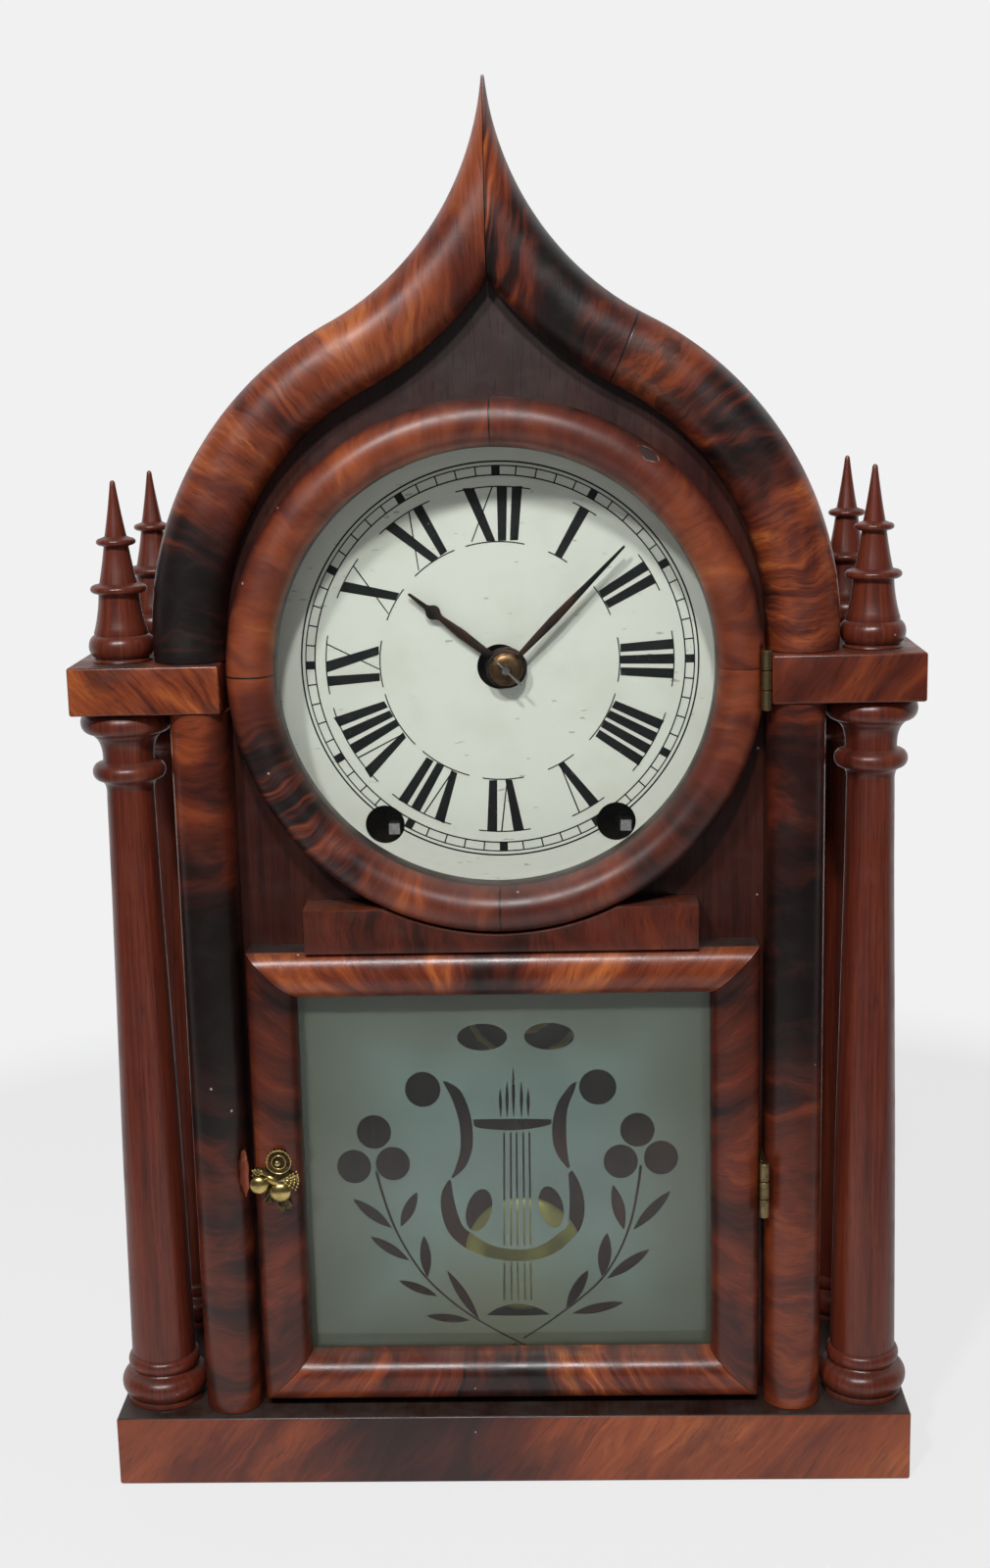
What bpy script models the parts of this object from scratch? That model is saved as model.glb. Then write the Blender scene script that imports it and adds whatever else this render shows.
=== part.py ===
"""Gothic shelf clock with an onion-shaped top, a hinged door and an eight-day striking movement.

The origin is the middle of the plinth's underside. X runs to the right as seen from the front,
the front faces -Y, and Z is up. Sizes are in millimetres and become metres as meshes are made.
"""
import math

import bmesh
import bpy
from mathutils import Matrix, Vector

MM = 0.001
GAP = 0.3

# Case
TIP_Z = 508.0
PLINTH_HALF_X = 149.0
PLINTH_HALF_Y = 54.0
PLINTH_TOP = 27.0
BODY_BOTTOM = PLINTH_TOP + GAP
BLOCK_BOTTOM = 295.0
BLOCK_TOP = 312.3
BLOCK_INNER_X = 96.4
BLOCK_OUTER_X = 150.0
BLOCK_HALF_Y = 51.6
COLUMN_X = 133.5
COLUMN_Y = 33.5
BOARD_FRONT = -32.5
BOARD_BACK = -22.5
BOARD_HALF_X = 115.0
BACKBOARD_FRONT = 45.0
BACKBOARD_BACK = 51.0
BACKBOARD_HALF_X = 112.0
SIDE_THICKNESS = 8.0
NECK_HALF_X = BLOCK_INNER_X - GAP
DIAL_OPENING_Z = 308.5
DIAL_OPENING_RADIUS = 83.0
WINDOW_HALF_X = 73.0
WINDOW_BOTTOM = 47.0
WINDOW_TOP = 190.0
PILASTER_X = 105.8
PILASTER_RADIUS = 10.5
PILASTER_ARC_Y = -40.5
APPLIED_BACK = BOARD_FRONT - GAP

# Onion arch: a round shoulder and a hollow arc that meet on a tangent
SHOULDER_RADIUS = 121.5
SHOULDER_Z = 320.0
HOLLOW_RADIUS = 101.0
HOLLOW_Z = SHOULDER_Z + math.sqrt(SHOULDER_RADIUS**2 + 2 * SHOULDER_RADIUS * HOLLOW_RADIUS)
TANGENT_ANGLE = math.atan2(HOLLOW_Z - SHOULDER_Z, HOLLOW_RADIUS)
ARCH_BOTTOM = BLOCK_TOP + GAP
ARCH_WIDTH = 26.0
ARCH_EDGE_Y = -37.0
ARCH_CREST_Y = -48.5
BOARD_INSET = 4.0
ROOF_INSET = 8.0

# Door
RING_Z = 307.8
RING_OUTER = 94.7
RING_INNER = 77.4
RING_OUTER_EDGE_Y = -45.0
RING_INNER_EDGE_Y = -42.2
RING_CREST_Y = -53.2
GLASS_REBATE_Y = -38.6
GLASS_REBATE_RADIUS = 80.6
DIAL_GLASS_RADIUS = 80.0
GLASS_FRONT = -38.2
DIAL_GLASS_BACK = -36.6
DOOR_HALF_X = 93.0
DOOR_BOTTOM = 30.4
DOOR_TOP = 205.9
RAIL_WIDTH = 17.5
RAIL_EDGE_Y = -44.4
RAIL_CREST_Y = -49.9
REBATE_WIDTH = 11.7
TABLET_BACK = -36.2
BRIDGE_HALF_X = 71.0
BRIDGE_TOP = 222.5
BRIDGE_FRONT = -48.8
HINGE_X = 94.4
HINGE_Y = -51.0
HINGE_LENGTH = 21.0
KNUCKLE_RADIUS = 1.8
PIN_RADIUS = 0.85
PIN_BORE = 1.0
LEAF_FRONT = HINGE_Y + 2.2
LEAF_BACK = -36.0
LEAF_THICKNESS = 0.6
UPPER_HINGE_Z = 303.5
UPPER_LEAF_HALF = 8.0
UPPER_DOOR_LEAF = -0.3
LOWER_HINGE_Z = 115.0
LATCH_X = -84.5
LATCH_Z = 122.0

# Dial and hands
DIAL_X = 1.1
DIAL_Z = 307.65
DIAL_RADIUS = 90.0
DIAL_FRONT = -22.2
DIAL_BACK = -21.4
HOUR_ANGLE = math.radians(308.4)
MINUTE_ANGLE = math.radians(44.8)
HOUR_HAND_Y = (-25.5, -24.7)
MINUTE_HAND_Y = (-29.0, -28.2)
WASHER_Y = (-31.0, -29.3)
ARBOR_TIP_Y = -34.0

# Movement, with arbor places given as X and Z
CENTRE_X = 3.5
CENTRE = (CENTRE_X, 305.9)
WINDING_TIME = (CENTRE_X + 42.65, 246.0)
WINDING_STRIKE = (CENTRE_X - 42.65, 246.0)
SECOND = (CENTRE_X + 28.5, 284.05)
PIN_WHEEL = (CENTRE_X - 28.5, 284.05)
THIRD = (CENTRE_X - 21.3, 322.5)
ESCAPE = (CENTRE_X, 336.0)
FLY = (CENTRE_X - 45.0, 305.4)
STUD = (CENTRE_X - 18.0, 305.9)
VERGE = (CENTRE_X, 353.0)
HAMMER = (CENTRE_X - 48.5, 215.0)
GONG = (CENTRE_X, 150.0)
SUSPENSION_Z = 362.0
BOB_Z = 58.0
BOB_RADIUS = 21.5
PENDULUM_Y = 32.0
PLATE_HALF_X = 58.0
PLATE_BOTTOM = 205.0
PLATE_TOP = 358.0
FRONT_PLATE_Y = (-9.0, -7.5)
BACK_PLATE_Y = (20.0, 21.5)
SHOULDER_Y = (FRONT_PLATE_Y[1] + GAP, BACK_PLATE_Y[0] - GAP)
PIVOT_Y = (FRONT_PLATE_Y[0] + GAP, BACK_PLATE_Y[1] - GAP)
PILLARS = ((-14.0, 209.0), (14.0, 209.0), (-50.0, 350.0), (50.0, 350.0))
POSTS = ((-50.0, 240.0), (50.0, 240.0), (-50.0, 350.0), (50.0, 350.0))
ARBOR_RADIUS = 1.35
PIVOT_RADIUS = 0.9
PIVOT_HOLE = 1.2
MINUTE_ARBOR_RADIUS = 1.5
PIPE_BORE = 1.9
PIPE_RADIUS = 3.0
WINDING_RADIUS = 3.0
CENTRE_LEVEL = (-5.5, -4.0)
GREAT_LEVEL = (-1.5, 0.5)
RATCHET_LEVEL = (1.2, 2.4)
SPRING_LEVEL = (3.0, 12.0)
THIRD_LEVEL = (9.5, 11.0)
SECOND_LEVEL = (14.0, 15.5)
ESCAPE_LEVEL = (24.0, 25.5)
MINUTE_LEVEL = (-12.5, -11.0)
HOUR_LEVEL = (-16.0, -14.5)
GREAT_TEETH = 36
CENTRE_TEETH = 54
THIRD_TEETH = 57
PINION_LEAVES = 6
ESCAPE_TEETH = 42
ESCAPE_RADIUS = 14.0
MOTION_TEETH = {"minute_pinion": 10, "minute_wheel": 30, "hour_pinion": 8, "hour_wheel": 32}
ADDENDUM = 0.7
DEDENDUM = 1.0

# Finishes: colour, roughness, metallic
FINISHES = {
    "mahogany": ((0.16, 0.055, 0.030), 0.30, 0.0),
    "dark_wood": ((0.055, 0.024, 0.018), 0.45, 0.0),
    "glass": ((0.62, 0.68, 0.66), 0.08, 0.0),
    "etched_glass": ((0.30, 0.36, 0.35), 0.35, 0.0),
    "brass": ((0.55, 0.42, 0.18), 0.32, 1.0),
    "white_paint": ((0.66, 0.69, 0.60), 0.55, 0.0),
    "black_steel": ((0.02, 0.02, 0.022), 0.40, 0.6),
    "steel": ((0.32, 0.32, 0.33), 0.38, 1.0),
}


def fresh_scene():
    for obj in list(bpy.data.objects):
        bpy.data.objects.remove(obj)
    collections = []
    for name in ("gothic_shelf_clock", "clock_cutters"):
        collection = bpy.data.collections.new(name)
        bpy.context.scene.collection.children.link(collection)
        collections.append(collection)
    return collections


PARTS, CUTTERS = fresh_scene()


def scratch(name, data):
    """Link a shape to the cutters until it is finished as a part."""
    obj = bpy.data.objects.new(name, data)
    obj.hide_render = True
    obj.display_type = "WIRE"
    CUTTERS.objects.link(obj)
    return obj


def face_outward(bm):
    """Turn every face of a closed shape outward."""
    bmesh.ops.recalc_face_normals(bm, faces=bm.faces)
    if bm.calc_volume(signed=True) < 0:
        bmesh.ops.reverse_faces(bm, faces=bm.faces)


def shape_from(bm):
    """A scratch object from a bmesh given in millimetres."""
    face_outward(bm)
    mesh = bpy.data.meshes.new("shape")
    bm.to_mesh(mesh)
    bm.free()
    mesh.transform(Matrix.Scale(MM, 4))
    return scratch("shape", mesh)


def bake(obj):
    """Turn a curve or a modified object into one plain closed mesh, in its place."""
    bpy.context.view_layer.update()
    depsgraph = bpy.context.evaluated_depsgraph_get()
    mesh = bpy.data.meshes.new_from_object(obj.evaluated_get(depsgraph))
    mesh.transform(obj.matrix_world)
    bm = bmesh.new()
    bm.from_mesh(mesh)
    bmesh.ops.remove_doubles(bm, verts=bm.verts, dist=0.002 * MM)
    face_outward(bm)
    bm.to_mesh(mesh)
    bm.free()
    bpy.data.objects.remove(obj)
    return scratch("shape", mesh)


def combine(base, others, operation):
    """Join others to a base shape, or cut them from it, and use them up."""
    for other in others:
        modifier = base.modifiers.new(operation.lower(), "BOOLEAN")
        modifier.operation = operation
        modifier.solver = "EXACT"
        modifier.object = other
    result = bake(base)
    for other in others:
        bpy.data.objects.remove(other)
    return result


def joined(base, *others):
    return combine(base, others, "UNION")


def cut(base, *others):
    return combine(base, others, "DIFFERENCE")


def box(low, high):
    bm = bmesh.new()
    bmesh.ops.create_cube(bm, size=1.0)
    low, high = Vector(low), Vector(high)
    bmesh.ops.scale(bm, vec=high - low, verts=bm.verts)
    bmesh.ops.translate(bm, vec=(low + high) / 2, verts=bm.verts)
    return shape_from(bm)


def bevelled_box(low, high, width):
    obj = box(low, high)
    modifier = obj.modifiers.new("edges", "BEVEL")
    modifier.width = width * MM
    modifier.segments = 1
    return bake(obj)


def rod(start, end, radius, sides):
    """A round bar between two points."""
    start, end = Vector(start), Vector(end)
    along = end - start
    bm = bmesh.new()
    bmesh.ops.create_cone(
        bm, cap_ends=True, segments=sides, radius1=radius, radius2=radius, depth=along.length
    )
    turn = along.to_track_quat("Z", "Y").to_matrix().to_4x4()
    bmesh.ops.transform(bm, matrix=Matrix.Translation((start + end) / 2) @ turn, verts=bm.verts)
    return shape_from(bm)


def ball(centre, radius, rings, depth=1.0):
    """A round ball, or a flattened one whose depth along Y is a share of its width."""
    bm = bmesh.new()
    bmesh.ops.create_uvsphere(bm, u_segments=2 * rings, v_segments=rings, radius=radius)
    bmesh.ops.scale(bm, vec=(1.0, depth, 1.0), verts=bm.verts)
    bmesh.ops.translate(bm, vec=centre, verts=bm.verts)
    return shape_from(bm)


def circle(centre, radius, sides, start=0.0):
    """Points of a round outline in X and Z."""
    points = []
    for step in range(sides):
        angle = start + 2 * math.pi * step / sides
        points.append((centre[0] + radius * math.cos(angle), centre[1] + radius * math.sin(angle)))
    return points


def slab(outlines, level):
    """Closed outlines in X and Z, the first holding the rest as holes, from front to back Y."""
    curve = bpy.data.curves.new("outline", "CURVE")
    curve.dimensions = "2D"
    curve.fill_mode = "BOTH"
    curve.extrude = (level[1] - level[0]) / 2 * MM
    for outline in outlines:
        spline = curve.splines.new("POLY")
        spline.points.add(len(outline) - 1)
        for point, (x, z) in zip(spline.points, outline):
            point.co = (x * MM, z * MM, 0.0, 1.0)
        spline.use_cyclic_u = True
    obj = scratch("outline", curve)
    obj.rotation_euler = (math.pi / 2, 0.0, 0.0)
    obj.location = (0.0, (level[0] + level[1]) / 2 * MM, 0.0)
    return bake(obj)


def turned(profile, steps, centre, axis="Z", closed=False):
    """Spin (radius, distance along the axis) points about an axis through centre."""
    mesh = bpy.data.meshes.new("profile")
    verts = [(radius * MM, 0.0, along * MM) for radius, along in profile]
    edges = [(i, i + 1) for i in range(len(verts) - 1)]
    if closed:
        edges.append((len(verts) - 1, 0))
    mesh.from_pydata(verts, edges, [])
    obj = scratch("profile", mesh)
    screw = obj.modifiers.new("turn", "SCREW")
    screw.steps = steps
    screw.render_steps = steps
    screw.use_merge_vertices = True
    screw.merge_threshold = 0.00001
    if axis == "Y":
        obj.rotation_euler = (-math.pi / 2, 0.0, 0.0)
    obj.location = Vector(centre) * MM
    return bake(obj)


def tube(radii, level, centre, steps):
    """A pipe along Y with an inner and an outer radius."""
    inner, outer = radii
    profile = [(inner, level[0]), (outer, level[0]), (outer, level[1]), (inner, level[1])]
    return turned(profile, steps, (centre[0], 0.0, centre[1]), "Y", closed=True)


def gear(centre, teeth, module, phase, level, bore=None):
    """A toothed wheel with one tooth pointing along phase."""
    pitch = 2 * math.pi / teeth
    pitch_radius = teeth * module / 2
    root = pitch_radius - DEDENDUM * module
    tip = pitch_radius + ADDENDUM * module
    outline = []
    for flank in range(2 * teeth):
        angle = phase + flank * pitch / 2
        radius = root if flank % 2 else tip
        outline.append((centre[0] + radius * math.cos(angle), centre[1] + radius * math.sin(angle)))
    outlines = [outline]
    if bore:
        outlines.append(circle(centre, bore, 12))
    return slab(outlines, level)


def mesh_of(wheel_at, pinion_at, wheel_teeth, pinion_teeth):
    """Module, wheel phase and pinion phase of two wheels whose teeth meet on their centre line."""
    dx = pinion_at[0] - wheel_at[0]
    dz = pinion_at[1] - wheel_at[1]
    module = 2 * math.hypot(dx, dz) / (wheel_teeth + pinion_teeth)
    line = math.atan2(dz, dx)
    return module, line, line + math.pi + math.pi / pinion_teeth


def arbor(at):
    """A stepped arbor with pivots in both plates."""
    profile = [
        (0.0, PIVOT_Y[0]), (PIVOT_RADIUS, PIVOT_Y[0]), (PIVOT_RADIUS, SHOULDER_Y[0]),
        (ARBOR_RADIUS, SHOULDER_Y[0]), (ARBOR_RADIUS, SHOULDER_Y[1]),
        (PIVOT_RADIUS, SHOULDER_Y[1]), (PIVOT_RADIUS, PIVOT_Y[1]), (0.0, PIVOT_Y[1]),
    ]
    return turned(profile, 8, (at[0], 0.0, at[1]), "Y")


def pivot(name, place, parent=None):
    """An empty on a joint's axis, which carries the pieces that move about it."""
    empty = bpy.data.objects.new(name, None)
    PARTS.objects.link(empty)
    empty.location = Vector(place) * MM
    empty["place"] = Vector(place) * MM
    if parent:
        empty.parent = parent
        empty.location = Vector(place) * MM - Vector(parent["place"])
    return empty


def part(obj, name, finish, carrier=None):
    """Name a finished shape, give it its material and hang it on its pivot."""
    colour, roughness, metallic = FINISHES[finish]
    material = bpy.data.materials.new(f"{name}_{finish}")
    material.use_nodes = True
    shader = material.node_tree.nodes["Principled BSDF"]
    shader.inputs["Base Color"].default_value = (*colour, 1.0)
    shader.inputs["Roughness"].default_value = roughness
    shader.inputs["Metallic"].default_value = metallic
    obj.name = name
    obj.data.name = name
    obj.data.materials.clear()
    obj.data.materials.append(material)
    obj.data.shade_smooth()
    obj.data.set_sharp_from_angle(angle=math.radians(35))
    CUTTERS.objects.unlink(obj)
    PARTS.objects.link(obj)
    obj.hide_render = False
    obj.display_type = "TEXTURED"
    if carrier:
        obj.parent = carrier
        obj.location = -Vector(carrier["place"])


def sides():
    return (("left", -1), ("right", 1))


def mirrored(low_x, high_x, side):
    """The X range of a right-hand piece, or of its left-hand twin."""
    return (low_x, high_x) if side > 0 else (-high_x, -low_x)


def onion_half(inset):
    """Right half of the arch outline, from the capital block up to the middle."""
    shoulder = SHOULDER_RADIUS - inset
    hollow = HOLLOW_RADIUS + inset
    start = math.asin((ARCH_BOTTOM - SHOULDER_Z) / shoulder)
    points = []
    shoulder_steps = 9
    for step in range(shoulder_steps + 1):
        angle = start + (TANGENT_ANGLE - start) * step / shoulder_steps
        points.append((shoulder * math.cos(angle), SHOULDER_Z + shoulder * math.sin(angle)))
    end = math.pi + math.acos(HOLLOW_RADIUS / hollow)
    first = math.pi + TANGENT_ANGLE
    hollow_steps = 6
    for step in range(1, hollow_steps + 1):
        angle = first + (end - first) * step / hollow_steps
        points.append((HOLLOW_RADIUS + hollow * math.cos(angle), HOLLOW_Z + hollow * math.sin(angle)))
    points[-1] = (0.0, points[-1][1])
    return points


def onion(inset):
    """The whole arch outline, from right to left."""
    half = onion_half(inset)
    return half + [(-x, z) for x, z in reversed(half[:-1])]


def board_outline(half_x):
    """Outline of the front and back boards, necked in between the capital blocks."""
    neck_bottom = BLOCK_BOTTOM - GAP
    right = [(half_x, BODY_BOTTOM), (half_x, neck_bottom), (NECK_HALF_X, neck_bottom)]
    right.append((NECK_HALF_X, ARCH_BOTTOM))
    left = [(-x, z) for x, z in reversed(right)]
    return right + onion(BOARD_INSET) + left


def case_carcass():
    plinth_low = (-PLINTH_HALF_X, -PLINTH_HALF_Y, 0.0)
    plinth_high = (PLINTH_HALF_X, PLINTH_HALF_Y, PLINTH_TOP)
    part(bevelled_box(plinth_low, plinth_high, 1.2), "base_plinth", "mahogany")

    opening = circle((0.0, DIAL_OPENING_Z), DIAL_OPENING_RADIUS, 40)
    window = [
        (-WINDOW_HALF_X, WINDOW_BOTTOM), (WINDOW_HALF_X, WINDOW_BOTTOM),
        (WINDOW_HALF_X, WINDOW_TOP), (-WINDOW_HALF_X, WINDOW_TOP),
    ]
    front = slab([board_outline(BOARD_HALF_X), opening, window], (BOARD_FRONT, BOARD_BACK))
    part(front, "front_board", "dark_wood")
    back = slab([board_outline(BACKBOARD_HALF_X)], (BACKBOARD_FRONT, BACKBOARD_BACK))
    part(back, "backboard", "dark_wood")

    depth = (BOARD_BACK + GAP, BACKBOARD_FRONT - GAP)
    roof = onion(BOARD_INSET) + list(reversed(onion(ROOF_INSET)))
    part(slab([roof], depth), "roof_shell", "mahogany")
    for label, side in sides():
        low_x, high_x = mirrored(BACKBOARD_HALF_X - SIDE_THICKNESS, BACKBOARD_HALF_X, side)
        panel = box((low_x, depth[0], BODY_BOTTOM), (high_x, depth[1], BLOCK_BOTTOM - GAP))
        part(panel, f"side_panel_{label}", "mahogany")


def column_profile():
    top = BLOCK_BOTTOM - GAP
    return [
        (0.0, top), (15.3, top), (16.4, 291.5), (16.4, 289.0), (11.8, 285.6), (9.2, 276.0),
        (11.5, 275.0), (13.0, 272.0), (11.0, 269.3), (8.5, 265.0), (9.6, 200.0), (11.0, 130.0),
        (12.1, 46.0), (13.6, 42.5), (12.6, 38.8), (16.2, 35.5), (16.4, 31.0),
        (14.5, BODY_BOTTOM), (0.0, BODY_BOTTOM),
    ]


def finial_profile():
    return [
        (0.0, 376.2), (0.9, 375.6), (3.8, 356.2), (7.0, 354.6), (4.4, 353.0), (6.7, 340.0),
        (10.0, 338.1), (7.3, 336.2), (9.8, 322.0), (11.7, 319.5), (11.7, 315.5),
        (10.6, ARCH_BOTTOM), (0.0, ARCH_BOTTOM),
    ]


def case_columns():
    for label, side in sides():
        low_x, high_x = mirrored(BLOCK_INNER_X, BLOCK_OUTER_X, side)
        low = (low_x, -BLOCK_HALF_Y, BLOCK_BOTTOM)
        high = (high_x, BLOCK_HALF_Y, BLOCK_TOP)
        part(bevelled_box(low, high, 0.8), f"capital_block_{label}", "mahogany")
        for row, y in (("front", -COLUMN_Y), ("rear", COLUMN_Y)):
            place = (side * COLUMN_X, y, 0.0)
            part(turned(column_profile(), 16, place), f"column_{row}_{label}", "mahogany")
            part(turned(finial_profile(), 14, place), f"finial_{row}_{label}", "mahogany")


def pilaster(side):
    """A half-round upright applied to the front board."""
    section = [(PILASTER_RADIUS, APPLIED_BACK), (-PILASTER_RADIUS, APPLIED_BACK)]
    arc_steps = 10
    for step in range(arc_steps + 1):
        angle = math.pi + math.pi * step / arc_steps
        y = PILASTER_ARC_Y + PILASTER_RADIUS * math.sin(angle)
        section.append((PILASTER_RADIUS * math.cos(angle), y))
    bm = bmesh.new()
    verts = [bm.verts.new((side * PILASTER_X + x, y, BODY_BOTTOM)) for x, y in section]
    face = bm.faces.new(verts)
    raised = bmesh.ops.extrude_face_region(bm, geom=[face])["geom"]
    top_verts = [item for item in raised if isinstance(item, bmesh.types.BMVert)]
    rise = BLOCK_BOTTOM - GAP - BODY_BOTTOM
    bmesh.ops.translate(bm, vec=(0.0, 0.0, rise), verts=top_verts)
    return shape_from(bm)


def case_pilasters():
    inner_x = -PILASTER_X + PILASTER_RADIUS
    notch = box((inner_x - 4.2, -36.2, LATCH_Z - 4.0), (inner_x + 1.0, APPLIED_BACK + 1.0, LATCH_Z + 12.0))
    part(cut(pilaster(-1), notch), "pilaster_left", "mahogany")
    part(pilaster(1), "pilaster_right", "mahogany")


def arch_moulding(side):
    """A half-round moulding swept up the shoulder and the hollow, mitred at the middle."""
    bm = bmesh.new()
    start = math.asin((ARCH_BOTTOM - SHOULDER_Z) / SHOULDER_RADIUS) - 0.03
    section = [(0.0, APPLIED_BACK)]
    arc_steps = 6
    for step in range(arc_steps + 1):
        angle = math.pi * step / arc_steps
        across = ARCH_WIDTH / 2 * (1 - math.cos(angle))
        section.append((across, ARCH_EDGE_Y + (ARCH_CREST_Y - ARCH_EDGE_Y) * math.sin(angle)))
    section.append((ARCH_WIDTH, APPLIED_BACK))
    verts = []
    for across, y in section:
        radius = SHOULDER_RADIUS - across
        verts.append(bm.verts.new((radius * math.cos(start), y, SHOULDER_Z + radius * math.sin(start))))
    for index in range(len(verts)):
        bm.edges.new((verts[index - 1], verts[index]))
    sweep = verts + list(bm.edges)
    first_arc = ((0.0, 0.0, SHOULDER_Z), start - TANGENT_ANGLE, 10)
    second_arc = ((HOLLOW_RADIUS, 0.0, HOLLOW_Z), TANGENT_ANGLE, 9)
    for centre, angle, steps in (first_arc, second_arc):
        swept = bmesh.ops.spin(bm, geom=sweep, cent=centre, axis=(0, 1, 0), angle=angle, steps=steps)
        sweep = swept["geom_last"]
    cuts = (
        ((GAP / 2, 0, 0), (-1, 0, 0)),
        ((0, 0, TIP_Z), (0, 0, 1)),
        ((0, 0, ARCH_BOTTOM), (0, 0, -1)),
    )
    for point, normal in cuts:
        geometry = list(bm.verts) + list(bm.edges) + list(bm.faces)
        bmesh.ops.bisect_plane(bm, geom=geometry, plane_co=point, plane_no=normal, clear_outer=True)
    bmesh.ops.remove_doubles(bm, verts=bm.verts, dist=0.002)
    bmesh.ops.holes_fill(bm, edges=bm.edges, sides=0)
    if side < 0:
        bmesh.ops.scale(bm, vec=(-1, 1, 1), verts=bm.verts)
    return shape_from(bm)


def case_arch():
    for label, side in sides():
        part(arch_moulding(side), f"arch_moulding_{label}", "mahogany")


def hinge_mortise():
    """Room in the bezel's edge for the upper hinge's door leaf and its knuckles."""
    leaf_x = HINGE_X + UPPER_DOOR_LEAF - GAP
    low, high = UPPER_HINGE_Z - UPPER_LEAF_HALF, UPPER_HINGE_Z + UPPER_LEAF_HALF
    leaf_room = box((leaf_x, LEAF_FRONT - 2.0, low - 0.6), (HINGE_X + 3.0, APPLIED_BACK + 1.0, high + 0.6))
    low, high = UPPER_HINGE_Z - HINGE_LENGTH / 2 - 0.6, UPPER_HINGE_Z + HINGE_LENGTH / 2 + 0.6
    knuckle_room = rod((HINGE_X, HINGE_Y, low), (HINGE_X, HINGE_Y, high), KNUCKLE_RADIUS + 0.6, 12)
    return leaf_room, knuckle_room


def bezel(carrier):
    """The round wooden frame of the dial, with a rebate for its glass."""
    middle = (RING_OUTER + RING_INNER) / 2
    half = (RING_OUTER - RING_INNER) / 2
    profile = [(RING_OUTER, APPLIED_BACK)]
    arc_steps = 6
    for step in range(arc_steps + 1):
        angle = math.pi * step / arc_steps
        edge_y = RING_OUTER_EDGE_Y if 2 * step <= arc_steps else RING_INNER_EDGE_Y
        profile.append((middle + half * math.cos(angle), edge_y + (RING_CREST_Y - edge_y) * math.sin(angle)))
    profile += [(RING_INNER, GLASS_REBATE_Y), (GLASS_REBATE_RADIUS, GLASS_REBATE_Y)]
    profile.append((GLASS_REBATE_RADIUS, APPLIED_BACK))
    ring = turned(profile, 40, (0.0, 0.0, RING_Z), "Y", closed=True)
    part(cut(ring, *hinge_mortise()), "bezel_ring", "mahogany", carrier)
    pane = slab([circle((0.0, RING_Z), DIAL_GLASS_RADIUS, 40)], (GLASS_FRONT, DIAL_GLASS_BACK))
    part(pane, "dial_glass", "glass", carrier)

    bridge_low = (-BRIDGE_HALF_X, BRIDGE_FRONT, DOOR_TOP + GAP)
    bridge = box(bridge_low, (BRIDGE_HALF_X, APPLIED_BACK, BRIDGE_TOP))
    ring_room = rod((0.0, -60.0, RING_Z), (0.0, -20.0, RING_Z), RING_OUTER + 0.4, 80)
    part(cut(bridge, ring_room), "door_bridge", "mahogany", carrier)


def rail_section():
    """Distance in from the door's outer edge, and Y, round one rail of the frame."""
    return [
        (0.0, APPLIED_BACK), (0.0, RAIL_EDGE_Y), (1.6, -47.6), (4.6, -49.5), (8.0, RAIL_CREST_Y),
        (11.5, -48.9), (14.5, -46.2), (16.6, -42.8), (RAIL_WIDTH, -41.4), (RAIL_WIDTH, GLASS_REBATE_Y),
        (REBATE_WIDTH, GLASS_REBATE_Y), (REBATE_WIDTH, APPLIED_BACK),
    ]


def rail(along_half, out_from, upright, sign):
    """One mitred rail: its half length, the place of its outer edge, and which way it faces."""
    middle_z = (DOOR_TOP + DOOR_BOTTOM) / 2
    mitre = GAP / 2
    bm = bmesh.new()

    def place(inward, y, end):
        run = end * (along_half - inward - mitre)
        out = sign * (out_from - inward)
        return (out, y, middle_z + run) if upright else (run, y, middle_z + out)

    section = rail_section()
    face = bm.faces.new([bm.verts.new(place(inward, y, -1)) for inward, y in section])
    grown = bmesh.ops.extrude_face_region(bm, geom=[face])["geom"]
    far_verts = [item for item in grown if isinstance(item, bmesh.types.BMVert)]
    for vert in far_verts:
        along = 2 if upright else 0
        shift = middle_z if upright else 0.0
        vert.co[along] = 2 * shift - vert.co[along]
    return shape_from(bm)


def door_frame(carrier):
    half_z = (DOOR_TOP - DOOR_BOTTOM) / 2
    part(rail(DOOR_HALF_X, half_z, False, 1), "door_rail_top", "mahogany", carrier)
    part(rail(DOOR_HALF_X, half_z, False, -1), "door_rail_bottom", "mahogany", carrier)
    part(rail(half_z, DOOR_HALF_X, True, 1), "door_stile_right", "mahogany", carrier)
    pocket_low = (-DOOR_HALF_X - 1.0, -36.0, LATCH_Z - 4.0)
    pocket = box(pocket_low, (-DOOR_HALF_X + 12.2, APPLIED_BACK + 1.0, LATCH_Z + 15.0))
    bore = rod((LATCH_X, -52.0, LATCH_Z), (LATCH_X, -30.0, LATCH_Z), 1.9, 10)
    left = cut(rail(half_z, DOOR_HALF_X, True, -1), pocket, bore)
    part(left, "door_stile_left", "mahogany", carrier)

    reveal = REBATE_WIDTH + GAP
    pane_low = (-DOOR_HALF_X + reveal, GLASS_FRONT, DOOR_BOTTOM + reveal)
    pane = box(pane_low, (DOOR_HALF_X - reveal, TABLET_BACK, DOOR_TOP - reveal))
    part(pane, "tablet_glass", "etched_glass", carrier)


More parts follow.
